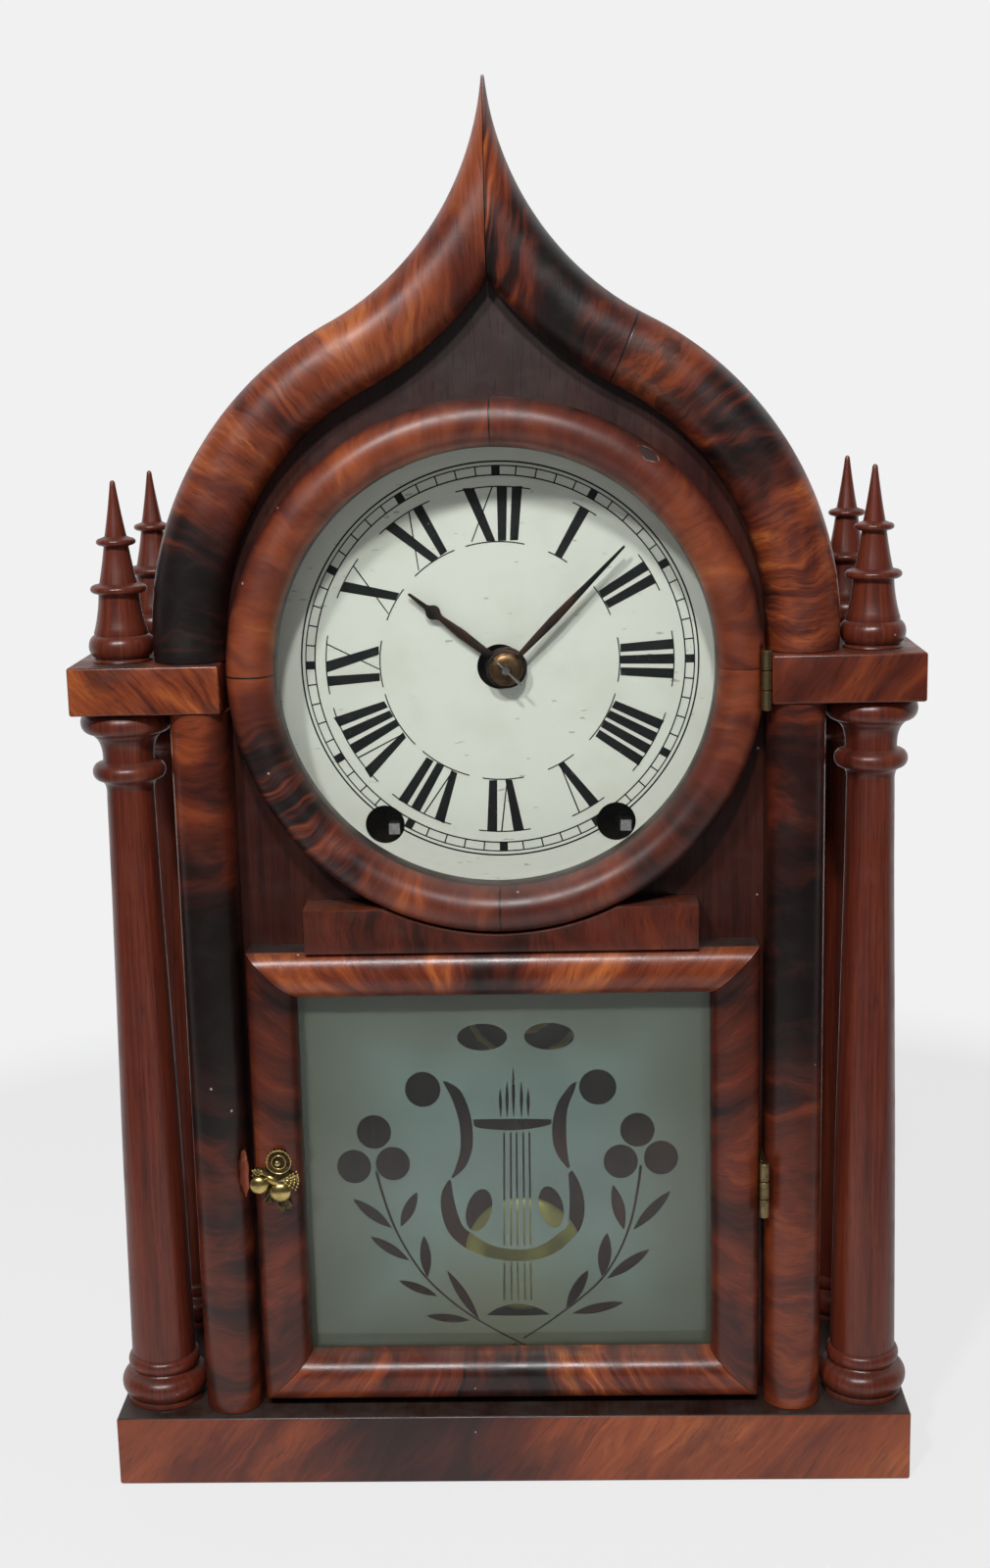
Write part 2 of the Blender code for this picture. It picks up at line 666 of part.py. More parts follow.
def hinge(label, middle_z, case_leaf_x, door_leaf_x, leaf_half, carrier):
    """Two leaves and three knuckles; the case leaf holds the pin."""
    def knuckle(low, high, radius):
        return rod((HINGE_X, HINGE_Y, low), (HINGE_X, HINGE_Y, high), radius, 12)

    low = middle_z - HINGE_LENGTH / 2
    third = HINGE_LENGTH / 3
    high = middle_z + HINGE_LENGTH / 2
    wall = HINGE_Y + PIN_BORE + GAP
    case_leaf = knuckle(low, low + third - GAP / 2, KNUCKLE_RADIUS)
    pieces = [knuckle(high - third + GAP / 2, high, KNUCKLE_RADIUS)]
    pieces.append(knuckle(low + 0.5, high - 0.5, PIN_RADIUS))

    def leaf_plate(x, start_y, end_y, start_z, end_z):
        return box((x, start_y, start_z), (x + LEAF_THICKNESS, end_y, end_z))

    leaf_low, leaf_high = middle_z - leaf_half, middle_z + leaf_half
    neck_back = LEAF_FRONT + 0.5
    pieces.append(leaf_plate(case_leaf_x, LEAF_FRONT, LEAF_BACK, leaf_low, leaf_high))
    for start, end in ((leaf_low, low + third - GAP), (high - third + GAP, leaf_high)):
        pieces.append(leaf_plate(case_leaf_x, HINGE_Y + 1.0, neck_back, start, end))
    part(joined(case_leaf, *pieces), f"hinge_{label}_case_leaf", "brass")

    inner = (low + third + GAP / 2, high - third - GAP / 2)
    plate = leaf_plate(door_leaf_x, LEAF_FRONT, LEAF_BACK, leaf_low, leaf_high)
    neck = leaf_plate(door_leaf_x, wall, neck_back, inner[0] + GAP, inner[1] - GAP)
    body = joined(knuckle(*inner, KNUCKLE_RADIUS), neck, plate)
    leaf = cut(body, knuckle(low, high, PIN_BORE))
    part(leaf, f"hinge_{label}_door_leaf", "brass", carrier)


def vine_leaf_outline():
    """A five-lobed leaf about the latch axis, its stalk end upward."""
    points = []
    lobes = 5
    steps = 30
    for step in range(steps):
        angle = 2 * math.pi * step / steps
        lobe = 0.5 + 0.5 * math.cos(lobes * (angle + math.pi / 2))
        radius = 7.2 + 3.6 * lobe
        x = LATCH_X + 0.86 * radius * math.cos(angle)
        points.append((x, LATCH_Z - 0.5 + 1.06 * radius * math.sin(angle)))
    return points


def latch(carrier):
    leaf_back = RAIL_CREST_Y - GAP
    knob = slab([vine_leaf_outline()], (leaf_back - 1.3, leaf_back))
    shaft = rod((LATCH_X, leaf_back - 0.7, LATCH_Z), (LATCH_X, -35.8, LATCH_Z), 1.5, 10)
    rivet = ball((LATCH_X, leaf_back - 1.3, LATCH_Z + 3.0), 1.5, 6)
    grapes = []
    for x, z in ((-5.2, -7.4), (2.2, -9.2)):
        grapes.append(ball((LATCH_X + x, leaf_back - 1.8, LATCH_Z + z), 3.4, 6, 0.55))
    part(joined(knob, shaft, rivet, *grapes), "latch_knob", "brass", carrier)
    tongue = box((LATCH_X - 2.5, -35.5, LATCH_Z - 3.0), (LATCH_X + 2.5, -34.0, LATCH_Z + 13.0))
    part(tongue, "latch_tongue", "steel", carrier)


def door():
    swing = pivot("door_axis", (HINGE_X, HINGE_Y, 0.0))
    bezel(swing)
    door_frame(swing)
    hinge("upper", UPPER_HINGE_Z, HINGE_X + 1.0, HINGE_X + UPPER_DOOR_LEAF, UPPER_LEAF_HALF, swing)
    hinge("lower", LOWER_HINGE_Z, HINGE_X, HINGE_X - 1.1, HINGE_LENGTH / 2, swing)
    latch(pivot("latch_axis", (LATCH_X, 0.0, LATCH_Z), swing))


def hand_point(angle, along, across):
    """A point of a hand that lies along a clockwise angle from twelve."""
    x = CENTRE[0] + along * math.sin(angle) + across * math.cos(angle)
    z = CENTRE[1] + along * math.cos(angle) - across * math.sin(angle)
    return (x, z)


def hand(angle, boss, half_widths, level, bore):
    """A flat hand: a round boss, then half widths at distances out to the tip."""
    spread = math.asin(half_widths[0][1] / boss)
    outline = []
    arc_steps = 14
    for step in range(arc_steps + 1):
        turn = spread + (2 * math.pi - 2 * spread) * step / arc_steps
        outline.append(hand_point(angle, boss * math.cos(turn), boss * math.sin(turn)))
    outline += [hand_point(angle, along, -half) for along, half in half_widths]
    outline += [hand_point(angle, along, half) for along, half in reversed(half_widths[:-1])]
    return slab([outline, circle(CENTRE, bore, 10)], level)


def dial_and_hands(minute_axis, hour_axis):
    holes = [circle((DIAL_X, CENTRE[1]), 8.2, 20)]
    for x in (-42.0, 42.0):
        holes.append(circle((DIAL_X + x, 247.6), 6.7, 16))
    dial = slab([circle((DIAL_X, DIAL_Z), DIAL_RADIUS, 40)] + holes, (DIAL_FRONT, DIAL_BACK))
    part(dial, "dial_plate", "white_paint")

    bore = MINUTE_ARBOR_RADIUS + GAP
    hour_shape = [
        (12.0, 1.75), (28.0, 1.2), (31.0, 1.0), (32.4, 2.2),
        (34.0, 2.7), (35.8, 2.2), (38.0, 0.9), (44.0, 0.1),
    ]
    hour = hand(HOUR_ANGLE, 7.5, hour_shape, HOUR_HAND_Y, bore)
    part(hour, "hour_hand", "black_steel", hour_axis)
    minute_shape = [(12.0, 1.1), (25.0, 1.7), (45.0, 1.1), (61.0, 0.4)]
    minute = hand(MINUTE_ANGLE, 6.8, minute_shape, MINUTE_HAND_Y, bore)
    part(minute, "minute_hand", "black_steel", minute_axis)
    washer = tube((bore, 6.0), WASHER_Y, CENTRE, 16)
    part(washer, "hand_washer", "brass", minute_axis)


def plate_outline():
    low_x, high_x = CENTRE_X - PLATE_HALF_X, CENTRE_X + PLATE_HALF_X
    return [(low_x, PLATE_BOTTOM), (high_x, PLATE_BOTTOM), (high_x, PLATE_TOP), (low_x, PLATE_TOP)]


def movement_plates():
    arbors = [SECOND, PIN_WHEEL, THIRD, FLY]
    front_holes = [circle(at, PIVOT_HOLE, 8) for at in arbors + [ESCAPE]]
    front_holes += [circle(at, WINDING_RADIUS + 0.6, 12) for at in (WINDING_TIME, WINDING_STRIKE)]
    front_holes.append(circle(CENTRE, 4.0, 12))
    front = slab([plate_outline()] + front_holes, FRONT_PLATE_Y)
    stud = rod((STUD[0], FRONT_PLATE_Y[1] - 0.5, STUD[1]), (STUD[0], HOUR_LEVEL[0] - 1.0, STUD[1]), 1.0, 8)
    part(joined(front, stud), "movement_front_plate", "brass")

    back_holes = [circle(at, PIVOT_HOLE, 8) for at in arbors + [CENTRE]]
    back_holes += [circle(at, 2.3, 10) for at in (WINDING_TIME, WINDING_STRIKE, ESCAPE)]
    back_holes += [circle(at, 1.9, 8) for at in (VERGE, HAMMER)]
    back = slab([plate_outline()] + back_holes, BACK_PLATE_Y)
    fixed = []
    for x, z in PILLARS:
        fixed.append(rod((CENTRE_X + x, SHOULDER_Y[0], z), (CENTRE_X + x, 20.8, z), 3.4, 10))
    for x, z in POSTS:
        fixed.append(rod((CENTRE_X + x, 20.7, z), (CENTRE_X + x, BACKBOARD_FRONT - GAP, z), 3.0, 10))
    fixed.append(box((CENTRE_X - 6.0, 20.2, PLATE_TOP - 1.5), (CENTRE_X + 6.0, 21.3, 368.0)))
    fixed.append(box((CENTRE_X - 3.0, 20.6, SUSPENSION_Z + 1.0), (CENTRE_X + 3.0, 34.5, 367.0)))
    part(joined(back, *fixed), "movement_back_plate", "brass")


def motion_work(minute_axis, hour_axis):
    """The wheels that turn the hour hand at one twelfth of the minute hand."""
    teeth = MOTION_TEETH
    module, wheel_phase, pinion_phase = mesh_of(STUD, CENTRE, teeth["minute_wheel"], teeth["minute_pinion"])
    profile = [
        (0.0, ARBOR_TIP_Y), (MINUTE_ARBOR_RADIUS, ARBOR_TIP_Y), (MINUTE_ARBOR_RADIUS, SHOULDER_Y[1]),
        (PIVOT_RADIUS, SHOULDER_Y[1]), (PIVOT_RADIUS, PIVOT_Y[1]), (0.0, PIVOT_Y[1]),
    ]
    shaft = turned(profile, 10, (CENTRE[0], 0.0, CENTRE[1]), "Y")
    pinion = gear(CENTRE, teeth["minute_pinion"], module, pinion_phase, MINUTE_LEVEL)
    part(joined(shaft, pinion), "minute_arbor", "steel", minute_axis)

    wheel = gear(STUD, teeth["minute_wheel"], module, wheel_phase, MINUTE_LEVEL, 1.75)
    module, hour_phase, pinion_phase = mesh_of(CENTRE, STUD, teeth["hour_wheel"], teeth["hour_pinion"])
    pinion = gear(STUD, teeth["hour_pinion"], module, pinion_phase, HOUR_LEVEL, 1.75)
    pipe = tube((1.3, 2.2), (HOUR_LEVEL[0], MINUTE_LEVEL[1]), STUD, 10)
    stud_axis = pivot("minute_wheel_axis", (STUD[0], 0.0, STUD[1]))
    part(joined(wheel, pinion, pipe), "minute_wheel", "brass", stud_axis)

    hour = gear(CENTRE, teeth["hour_wheel"], module, hour_phase, HOUR_LEVEL, 2.4)
    pipe = tube((PIPE_BORE, PIPE_RADIUS), (HOUR_HAND_Y[1] + GAP, HOUR_LEVEL[1]), CENTRE, 12)
    part(joined(hour, pipe), "hour_wheel", "brass", hour_axis)


def wheel_axis(name, at):
    return pivot(f"{name}_axis", (at[0], 0.0, at[1]))


def spring_side(label, winding_at, driven_at):
    """Great wheel, winding arbor with its ratchet, and mainspring of one train."""
    module, wheel_phase, pinion_phase = mesh_of(winding_at, driven_at, GREAT_TEETH, PINION_LEAVES)
    axis = wheel_axis(f"{label}_great_wheel", winding_at)
    wheel = gear(winding_at, GREAT_TEETH, module, wheel_phase, GREAT_LEVEL, WINDING_RADIUS + GAP)
    part(wheel, f"{label}_great_wheel", "brass", axis)

    profile = [
        (0.0, -9.8), (WINDING_RADIUS, -9.8), (WINDING_RADIUS, SHOULDER_Y[1]), (2.0, SHOULDER_Y[1]),
        (2.0, PIVOT_Y[1]), (0.0, PIVOT_Y[1]),
    ]
    shaft = turned(profile, 12, (winding_at[0], 0.0, winding_at[1]), "Y")
    x, z = winding_at
    square = box((x - 2.0, -21.0, z - 2.0), (x + 2.0, -9.0, z + 2.0))
    ratchet = slab([saw_outline(winding_at, 9.0, 7.4, 14)], RATCHET_LEVEL)
    part(joined(shaft, square, ratchet), f"{label}_winding_arbor", "steel", axis)

    curve = bpy.data.curves.new("coil", "CURVE")
    curve.dimensions = "3D"
    curve.extrude = (SPRING_LEVEL[1] - SPRING_LEVEL[0]) / 2 * MM
    spline = curve.splines.new("POLY")
    turns, points_per_turn, inner, outer = 4, 12, 6.0, 25.0
    count = turns * points_per_turn + 1
    spline.points.add(count - 1)
    for index, point in enumerate(spline.points):
        angle = 2 * math.pi * index / points_per_turn
        radius = inner + (outer - inner) * index / (count - 1)
        point.co = ((x + radius * math.cos(angle)) * MM, (z + radius * math.sin(angle)) * MM, 0.0, 1.0)
    strip = scratch("coil", curve)
    strip.rotation_euler = (math.pi / 2, 0.0, 0.0)
    strip.location = (0.0, (SPRING_LEVEL[0] + SPRING_LEVEL[1]) / 2 * MM, 0.0)
    strip = bake(strip)
    solid = strip.modifiers.new("strip", "SOLIDIFY")
    solid.thickness = 0.9 * MM
    solid.offset = 0.0
    part(bake(strip), f"{label}_mainspring", "steel")
    return module, pinion_phase


def saw_outline(centre, tip, root, teeth):
    """A ratchet-shaped outline, steep on one flank."""
    points = []
    for tooth in range(teeth):
        angle = 2 * math.pi * tooth / teeth
        for radius in (root, tip):
            points.append((centre[0] + radius * math.cos(angle), centre[1] + radius * math.sin(angle)))
            angle += 0.15 * math.pi / teeth
    return points


def going_train():
    module, pinion_phase = spring_side("time", WINDING_TIME, SECOND)
    pinion = gear(SECOND, PINION_LEAVES, module, pinion_phase, GREAT_LEVEL)
    module, wheel_phase, pinion_phase = mesh_of(SECOND, CENTRE, GREAT_TEETH, PINION_LEAVES)
    wheel = gear(SECOND, GREAT_TEETH, module, wheel_phase, SECOND_LEVEL)
    second = joined(arbor(SECOND), pinion, wheel)
    part(second, "time_second_wheel", "brass", wheel_axis("time_second_wheel", SECOND))

    sleeve_bore = (PIPE_BORE + PIPE_RADIUS) / 2
    pinion = gear(CENTRE, PINION_LEAVES, module, pinion_phase, SECOND_LEVEL, sleeve_bore)
    sleeve = tube((PIPE_BORE, PIPE_RADIUS), (CENTRE_LEVEL[0], SECOND_LEVEL[1]), CENTRE, 12)
    module, wheel_phase, pinion_phase = mesh_of(CENTRE, THIRD, CENTRE_TEETH, PINION_LEAVES)
    wheel = gear(CENTRE, CENTRE_TEETH, module, wheel_phase, CENTRE_LEVEL, sleeve_bore)
    part(joined(sleeve, pinion, wheel), "center_wheel", "brass", wheel_axis("center_wheel", CENTRE))

    pinion = gear(THIRD, PINION_LEAVES, module, pinion_phase, CENTRE_LEVEL)
    module, wheel_phase, pinion_phase = mesh_of(THIRD, ESCAPE, THIRD_TEETH, PINION_LEAVES)
    wheel = gear(THIRD, THIRD_TEETH, module, wheel_phase, THIRD_LEVEL)
    part(joined(arbor(THIRD), pinion, wheel), "third_wheel", "brass", wheel_axis("third_wheel", THIRD))

    pinion = gear(ESCAPE, PINION_LEAVES, module, pinion_phase, THIRD_LEVEL)
    profile = [
        (0.0, PIVOT_Y[0]), (PIVOT_RADIUS, PIVOT_Y[0]), (PIVOT_RADIUS, SHOULDER_Y[0]),
        (ARBOR_RADIUS, SHOULDER_Y[0]), (ARBOR_RADIUS, 26.5), (0.0, 26.5),
    ]
    shaft = turned(profile, 8, (ESCAPE[0], 0.0, ESCAPE[1]), "Y")
    wheel = slab([saw_outline(ESCAPE, ESCAPE_RADIUS, ESCAPE_RADIUS - 1.8, ESCAPE_TEETH)], ESCAPE_LEVEL)
    part(joined(shaft, pinion, wheel), "escape_wheel", "brass", wheel_axis("escape_wheel", ESCAPE))


def escapement():
    """The verge that lets the escape wheel pass, and the pendulum that its crutch follows."""
    x, z = VERGE
    right = [(2.5, 351.8), (9.6, 350.6), (10.4, 348.5), (12.0, 348.3), (11.0, 352.5), (3.0, 355.5)]
    left = [(-dx, dz) for dx, dz in reversed(right)]
    anchor = slab([[(x + dx, dz) for dx, dz in right + left]], ESCAPE_LEVEL)
    shaft = rod((x, BACK_PLATE_Y[0] + GAP, z), (x, 30.0, z), 1.3, 8)
    crutch = box((x - 0.8, 28.5, 325.0), (x + 0.8, 29.9, z))
    fork = box((x - 2.4, 28.4, 324.5), (x + 2.4, 30.0, 327.5))
    prongs = []
    for low, high in ((-2.4, -1.4), (1.4, 2.4)):
        prongs.append(box((x + low, 29.0, 324.6), (x + high, 33.5, 327.4)))
    axis = pivot("verge_axis", (x, 0.0, z))
    part(joined(anchor, shaft, crutch, fork, *prongs), "verge", "steel", axis)

    axis = pivot("pendulum_axis", (CENTRE_X, PENDULUM_Y, SUSPENSION_Z))
    top = (CENTRE_X, PENDULUM_Y, SUSPENSION_Z + 0.7)
    rod_bottom = (CENTRE_X, PENDULUM_Y, BOB_Z + BOB_RADIUS + GAP)
    part(rod(top, rod_bottom, 0.6, 6), "pendulum_rod", "steel", axis)
    half = [(0.0, -4.5), (9.0, -4.0), (17.0, -2.6), (BOB_RADIUS, -0.4)]
    lens = half + [(radius, -along) for radius, along in reversed(half)]
    bob = turned(lens, 24, (CENTRE_X, PENDULUM_Y, BOB_Z), "Y")
    part(bob, "pendulum_bob", "brass", axis)


def striking_train():
    module, pinion_phase = spring_side("strike", WINDING_STRIKE, PIN_WHEEL)
    pinion = gear(PIN_WHEEL, PINION_LEAVES, module, pinion_phase, GREAT_LEVEL)
    module, wheel_phase, pinion_phase = mesh_of(PIN_WHEEL, FLY, GREAT_TEETH, PINION_LEAVES)
    wheel = gear(PIN_WHEEL, GREAT_TEETH, module, wheel_phase, SECOND_LEVEL)
    pin_wheel = joined(arbor(PIN_WHEEL), pinion, wheel)
    part(pin_wheel, "strike_pin_wheel", "brass", wheel_axis("strike_pin_wheel", PIN_WHEEL))

    pinion = gear(FLY, PINION_LEAVES, module, pinion_phase, SECOND_LEVEL)
    blade = box((FLY[0] - 14.0, -4.0, FLY[1] - 0.4), (FLY[0] + 14.0, 6.0, FLY[1] + 0.4))
    part(joined(arbor(FLY), pinion, blade), "fly", "brass", wheel_axis("fly", FLY))

    x, z = HAMMER
    gong_y = 41.0
    shaft = rod((x, BACK_PLATE_Y[0] + GAP, z), (x, 42.5, z), 1.5, 8)
    stem = rod((x, gong_y, z), (x, gong_y, GONG[1]), 1.0, 6)
    head = rod((x - 5.0, gong_y, GONG[1]), (x + 5.0, gong_y, GONG[1]), 3.2, 10)
    part(joined(shaft, stem, head), "hammer", "steel", pivot("hammer_axis", (x, 0.0, z)))

    curve = bpy.data.curves.new("gong_coil", "CURVE")
    curve.dimensions = "3D"
    curve.bevel_depth = 1.1 * MM
    curve.bevel_resolution = 1
    curve.use_fill_caps = True
    spline = curve.splines.new("POLY")
    turns, points_per_turn, inner, outer = 3, 16, 5.0, 34.0
    count = turns * points_per_turn + 1
    spline.points.add(count - 1)
    for index, point in enumerate(spline.points):
        angle = 2 * math.pi * index / points_per_turn
        radius = inner + (outer - inner) * index / (count - 1)
        coil_x = GONG[0] + radius * math.cos(angle)
        coil_z = GONG[1] + radius * math.sin(angle)
        point.co = (coil_x * MM, gong_y * MM, coil_z * MM, 1.0)
    boss = rod((GONG[0], 38.5, GONG[1]), (GONG[0], BACKBOARD_FRONT - GAP, GONG[1]), 7.0, 12)
    part(joined(boss, bake(scratch("gong_coil", curve))), "gong", "brass")


def clock():
    case_carcass()
    case_columns()
    case_pilasters()
    case_arch()
    door()
    minute_axis = wheel_axis("minute_hand", CENTRE)
    hour_axis = wheel_axis("hour_hand", CENTRE)
    dial_and_hands(minute_axis, hour_axis)
    movement_plates()
    motion_work(minute_axis, hour_axis)
    going_train()
    escapement()
    striking_train()


clock()
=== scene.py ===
"""Looks of a gothic shelf clock with an onion top.

The case is veneered in flame mahogany, the door carries a glazed bezel and a
frosted, wheel-cut tablet, and behind it are a painted dial and a brass movement.
Shapes are built in millimetres and brought to metres when a mesh is finished;
x runs to the right, y to the back and z up.
"""
import math

import bmesh
import bpy
from mathutils import Matrix, Vector


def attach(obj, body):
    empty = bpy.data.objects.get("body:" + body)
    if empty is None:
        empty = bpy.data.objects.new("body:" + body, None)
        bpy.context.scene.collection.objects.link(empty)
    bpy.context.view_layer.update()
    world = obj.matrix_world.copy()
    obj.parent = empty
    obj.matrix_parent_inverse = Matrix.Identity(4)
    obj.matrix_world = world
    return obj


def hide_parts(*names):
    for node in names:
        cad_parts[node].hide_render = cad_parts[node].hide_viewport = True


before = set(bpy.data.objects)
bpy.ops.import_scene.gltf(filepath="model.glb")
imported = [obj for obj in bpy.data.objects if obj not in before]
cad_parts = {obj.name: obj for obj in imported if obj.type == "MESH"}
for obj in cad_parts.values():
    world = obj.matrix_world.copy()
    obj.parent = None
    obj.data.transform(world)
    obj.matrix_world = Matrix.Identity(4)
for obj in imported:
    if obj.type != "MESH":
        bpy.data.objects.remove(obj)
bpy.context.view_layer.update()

MM = 0.001
UV_NAME = "metres"
MERGE = 0.0005

# Case, in millimetres, as the solids have it
PLINTH_X, PLINTH_Y, PLINTH_TOP = 149.0, 54.0, 27.0
CASE_LOW, CASE_HIGH = 27.3, 294.7
BLOCK_LOW, BLOCK_HIGH = 295.0, 312.3
BLOCK_INNER, BLOCK_OUTER, BLOCK_Y = 96.4, 150.0, 51.6
COLUMN_X, COLUMN_Y = 133.5, 33.5
BOARD_FRONT, BOARD_BACK = -32.5, -22.5
BOARD_HALF, BOARD_NECK = 115.0, 96.1
OPENING_Z, OPENING_RADIUS = 308.5, 83.0
WINDOW_HALF, WINDOW_LOW, WINDOW_HIGH = 73.0, 47.0, 190.0
PANEL_INNER, PANEL_OUTER = 104.0, 112.0
SHELL_OUTSIDE, SHELL_INSIDE = 4.0, 8.0
SHELL_FRONT, SHELL_BACK = -22.2, 44.7
BACK_FRONT, BACK_BACK = 45.0, 51.0
ARCH_START = 312.6
SHOULDER_Z, SHOULDER_RADIUS = 320.0, 121.5
HOLLOW_RADIUS = 101.0
HOLLOW_Z = SHOULDER_Z + math.sqrt(SHOULDER_RADIUS**2 + 2 * SHOULDER_RADIUS * HOLLOW_RADIUS)
TANGENT = math.atan2(HOLLOW_Z - SHOULDER_Z, HOLLOW_RADIUS)
ARCH_WIDTH, ARCH_EDGE = 26.0, -37.0
ARCH_TIP = 508.0
PILASTER_X, PILASTER_RADIUS, PILASTER_EDGE = 105.8, 10.5, -40.5
MITRE = 0.15
JOINT_CORE, JOINT_EDGE = 0.2, 0.5
MOULDING_BACK, MOULDING_CREST = -32.8, -48.5

# Door
RING_Z, RING_OUTER, RING_INNER = 307.8, 94.7, 77.4
RING_CREST, RING_OUTER_EDGE, RING_INNER_EDGE = -53.2, -45.0, -42.2
RING_REBATE, REBATE_FRONT = 80.6, -38.6
BRIDGE_HALF, BRIDGE_FRONT = 71.0, -48.8
BRIDGE_LOW, BRIDGE_TOP = 206.2, 222.5
DOOR_HALF, DOOR_LOW, DOOR_HIGH = 93.0, 30.4, 205.9
RAIL_HALF, RAIL_REBATE = 8.75, 11.7
RAIL_CREST, RAIL_OUTER_EDGE, RAIL_INNER_EDGE = -49.9, -44.4, -41.4
GLASS_FRONT, DIAL_GLASS_BACK, TABLET_BACK = -38.2, -36.6, -36.4
HINGE_X, HINGE_Y, HINGE_LENGTH = 94.4, -51.0, 21.0
UPPER_HINGE_Z, LOWER_HINGE_Z = 303.5, 115.0
LEAF_FRONT, LEAF_BACK = -48.8, -36.0
LATCH_X, LATCH_Z, LATCH_BACK = -84.5, 122.0, -50.2
LATCH_FRONT = LATCH_BACK - 1.8
PILASTER_TONGUE_ROOM = ((-99.5, -36.2, 118.0), (-94.3, -30.0, 134.0))
STILE_TONGUE_ROOM = ((-94.0, -36.0, 118.0), (-80.8, -30.0, 137.0))

# Dial and hands
DIAL_X, DIAL_Z, DIAL_RADIUS = 1.1, 307.65, 90.0
DIAL_FRONT, DIAL_BACK = -22.2, -21.4
PRINT_FRONT, PRINT_BACK = DIAL_FRONT - 0.05, DIAL_FRONT - 0.005
TRACK_RADIUS, TRACK_WIDTH = 68.65, 3.3
HANDS_X, HANDS_Z, HANDS_BORE = 3.5, 305.9, 1.65
WINDING_HOLES, HOLE_RADIUS = ((-42.4, 248.0), (42.6, 247.8)), 7.2
HOUR_ANGLE, MINUTE_ANGLE = math.radians(308.4), math.radians(44.8)

# Studio, in metres and watts
BACKDROP = (0.88, 0.88, 0.885, 1.0)
ROOM = (0.06, 0.06, 0.062, 1.0)
FLOOR_RADIUS = 0.62
LAMP_AIM, LAMP_SIZE = (0.0, 0.0, 0.25), 0.12
LAMPS = (("lamp_left", (-0.5, -1.26, 1.33), 12.0), ("lamp_right", (-0.02, -1.28, 1.41), 14.8))
CAMERA_PLACE = (0.020691, -0.748590, 0.412545)
CAMERA_YAW, CAMERA_PITCH, CAMERA_ROLL = 1.76078, -11.66821, 1.32266
CAMERA_LENS, CAMERA_SENSOR = 46.4776, 36.0


# Node helpers

def node(tree, kind, inputs=None, **settings):
    """Add a node; each input is a plain value or another node's output."""
    made = tree.nodes.new(kind)
    for key, value in settings.items():
        setattr(made, key, value)
    for socket, value in (inputs or {}).items():
        if isinstance(value, bpy.types.NodeSocket):
            tree.links.new(value, made.inputs[socket])
        else:
            made.inputs[socket].default_value = value
    return made


def calc(tree, operation, first, second=0.0, third=0.0, clamp=False):
    inputs = {0: first, 1: second, 2: third}
    return node(tree, "ShaderNodeMath", inputs, operation=operation, use_clamp=clamp).outputs[0]


def times(tree, first, second):
    return calc(tree, "MULTIPLY", first, second)


def larger(tree, first, second):
    return calc(tree, "MAXIMUM", first, second)


def distance(tree, value, middle):
    """How far a value is from a middle one."""
    return calc(tree, "ABSOLUTE", calc(tree, "SUBTRACT", value, middle))


def split(tree, vector):
    return node(tree, "ShaderNodeSeparateXYZ", {0: vector}).outputs


def joined(tree, first, second, third):
    return node(tree, "ShaderNodeCombineXYZ", {0: first, 1: second, 2: third}).outputs[0]


def effect(tree, group, inputs):
    """Place a shared surface effect and give its outputs."""
    return node(tree, "ShaderNodeGroup", inputs, node_tree=group).outputs


def noise(tree, vector, scale, detail=2.0, rough=0.5, twist=0.0):
    """Noise at one scale, or at a scale for each axis."""
    if isinstance(scale, tuple):
        vector = node(tree, "ShaderNodeVectorMath", {0: vector, 1: scale}, operation="MULTIPLY").outputs[0]
        scale = 1.0
    inputs = {"Vector": vector, "Scale": scale, "Detail": detail, "Roughness": rough, "Distortion": twist}
    return node(tree, "ShaderNodeTexNoise", inputs).outputs[0]


def band(tree, value, low, high, start=0.0, end=1.0):
    """A smooth step from start to end while the value goes from low to high."""
    inputs = {0: value, 1: low, 2: high, 3: start, 4: end}
    return node(tree, "ShaderNodeMapRange", inputs, interpolation_type="SMOOTHSTEP").outputs[0]


def mix(tree, factor, first, second, blend="MIX"):
    inputs = {0: factor, 6: first, 7: second}
    return node(tree, "ShaderNodeMix", inputs, data_type="RGBA", blend_type=blend).outputs[2]


def ramp(tree, value, stops):
    """A colour that runs through stops, each (position, colour)."""
    made = node(tree, "ShaderNodeValToRGB", {0: value})
    elements = made.color_ramp.elements
    for index, (position, colour) in enumerate(stops):
        element = elements[index] if index < 2 else elements.new(position)
        element.position = position
        element.color = (*colour, 1.0)
    return made.outputs[0]


def rgb(red, green, blue):
    return (red, green, blue, 1.0)


def new_group(name, inputs, outputs):
    """A shared shader group with named inputs and outputs."""
    tree = bpy.data.node_groups.new(name, "ShaderNodeTree")
    for label, kind, value in inputs:
        socket = tree.interface.new_socket(label, in_out="INPUT", socket_type="NodeSocket" + kind)
        socket.default_value = value
    for label, kind in outputs:
        tree.interface.new_socket(label, in_out="OUTPUT", socket_type="NodeSocket" + kind)
    start = tree.nodes.new("NodeGroupInput")
    end = tree.nodes.new("NodeGroupOutput")
    return tree, start.outputs, end.inputs


def hand_out(tree, ends, values):
    for label, value in values.items():
        tree.links.new(value, ends[label])


def new_material(name):
    material = bpy.data.materials.new(name)
    material.use_nodes = True
    tree = material.node_tree
    return material, tree, tree.nodes["Principled BSDF"]


def surface(tree, shader, colour=None, rough=None, height=None, strength=0.1, depth=0.0002):
    """Join the changing colour, roughness and relief to the shader."""
    if colour is not None:
        tree.links.new(colour, shader.inputs["Base Color"])
    if rough is not None:
        tree.links.new(rough, shader.inputs["Roughness"])
    if height is not None:
        inputs = {"Strength": strength, "Distance": depth, "Height": height}
        bump = node(tree, "ShaderNodeBump", inputs)
        tree.links.new(bump.outputs[0], shader.inputs["Normal"])


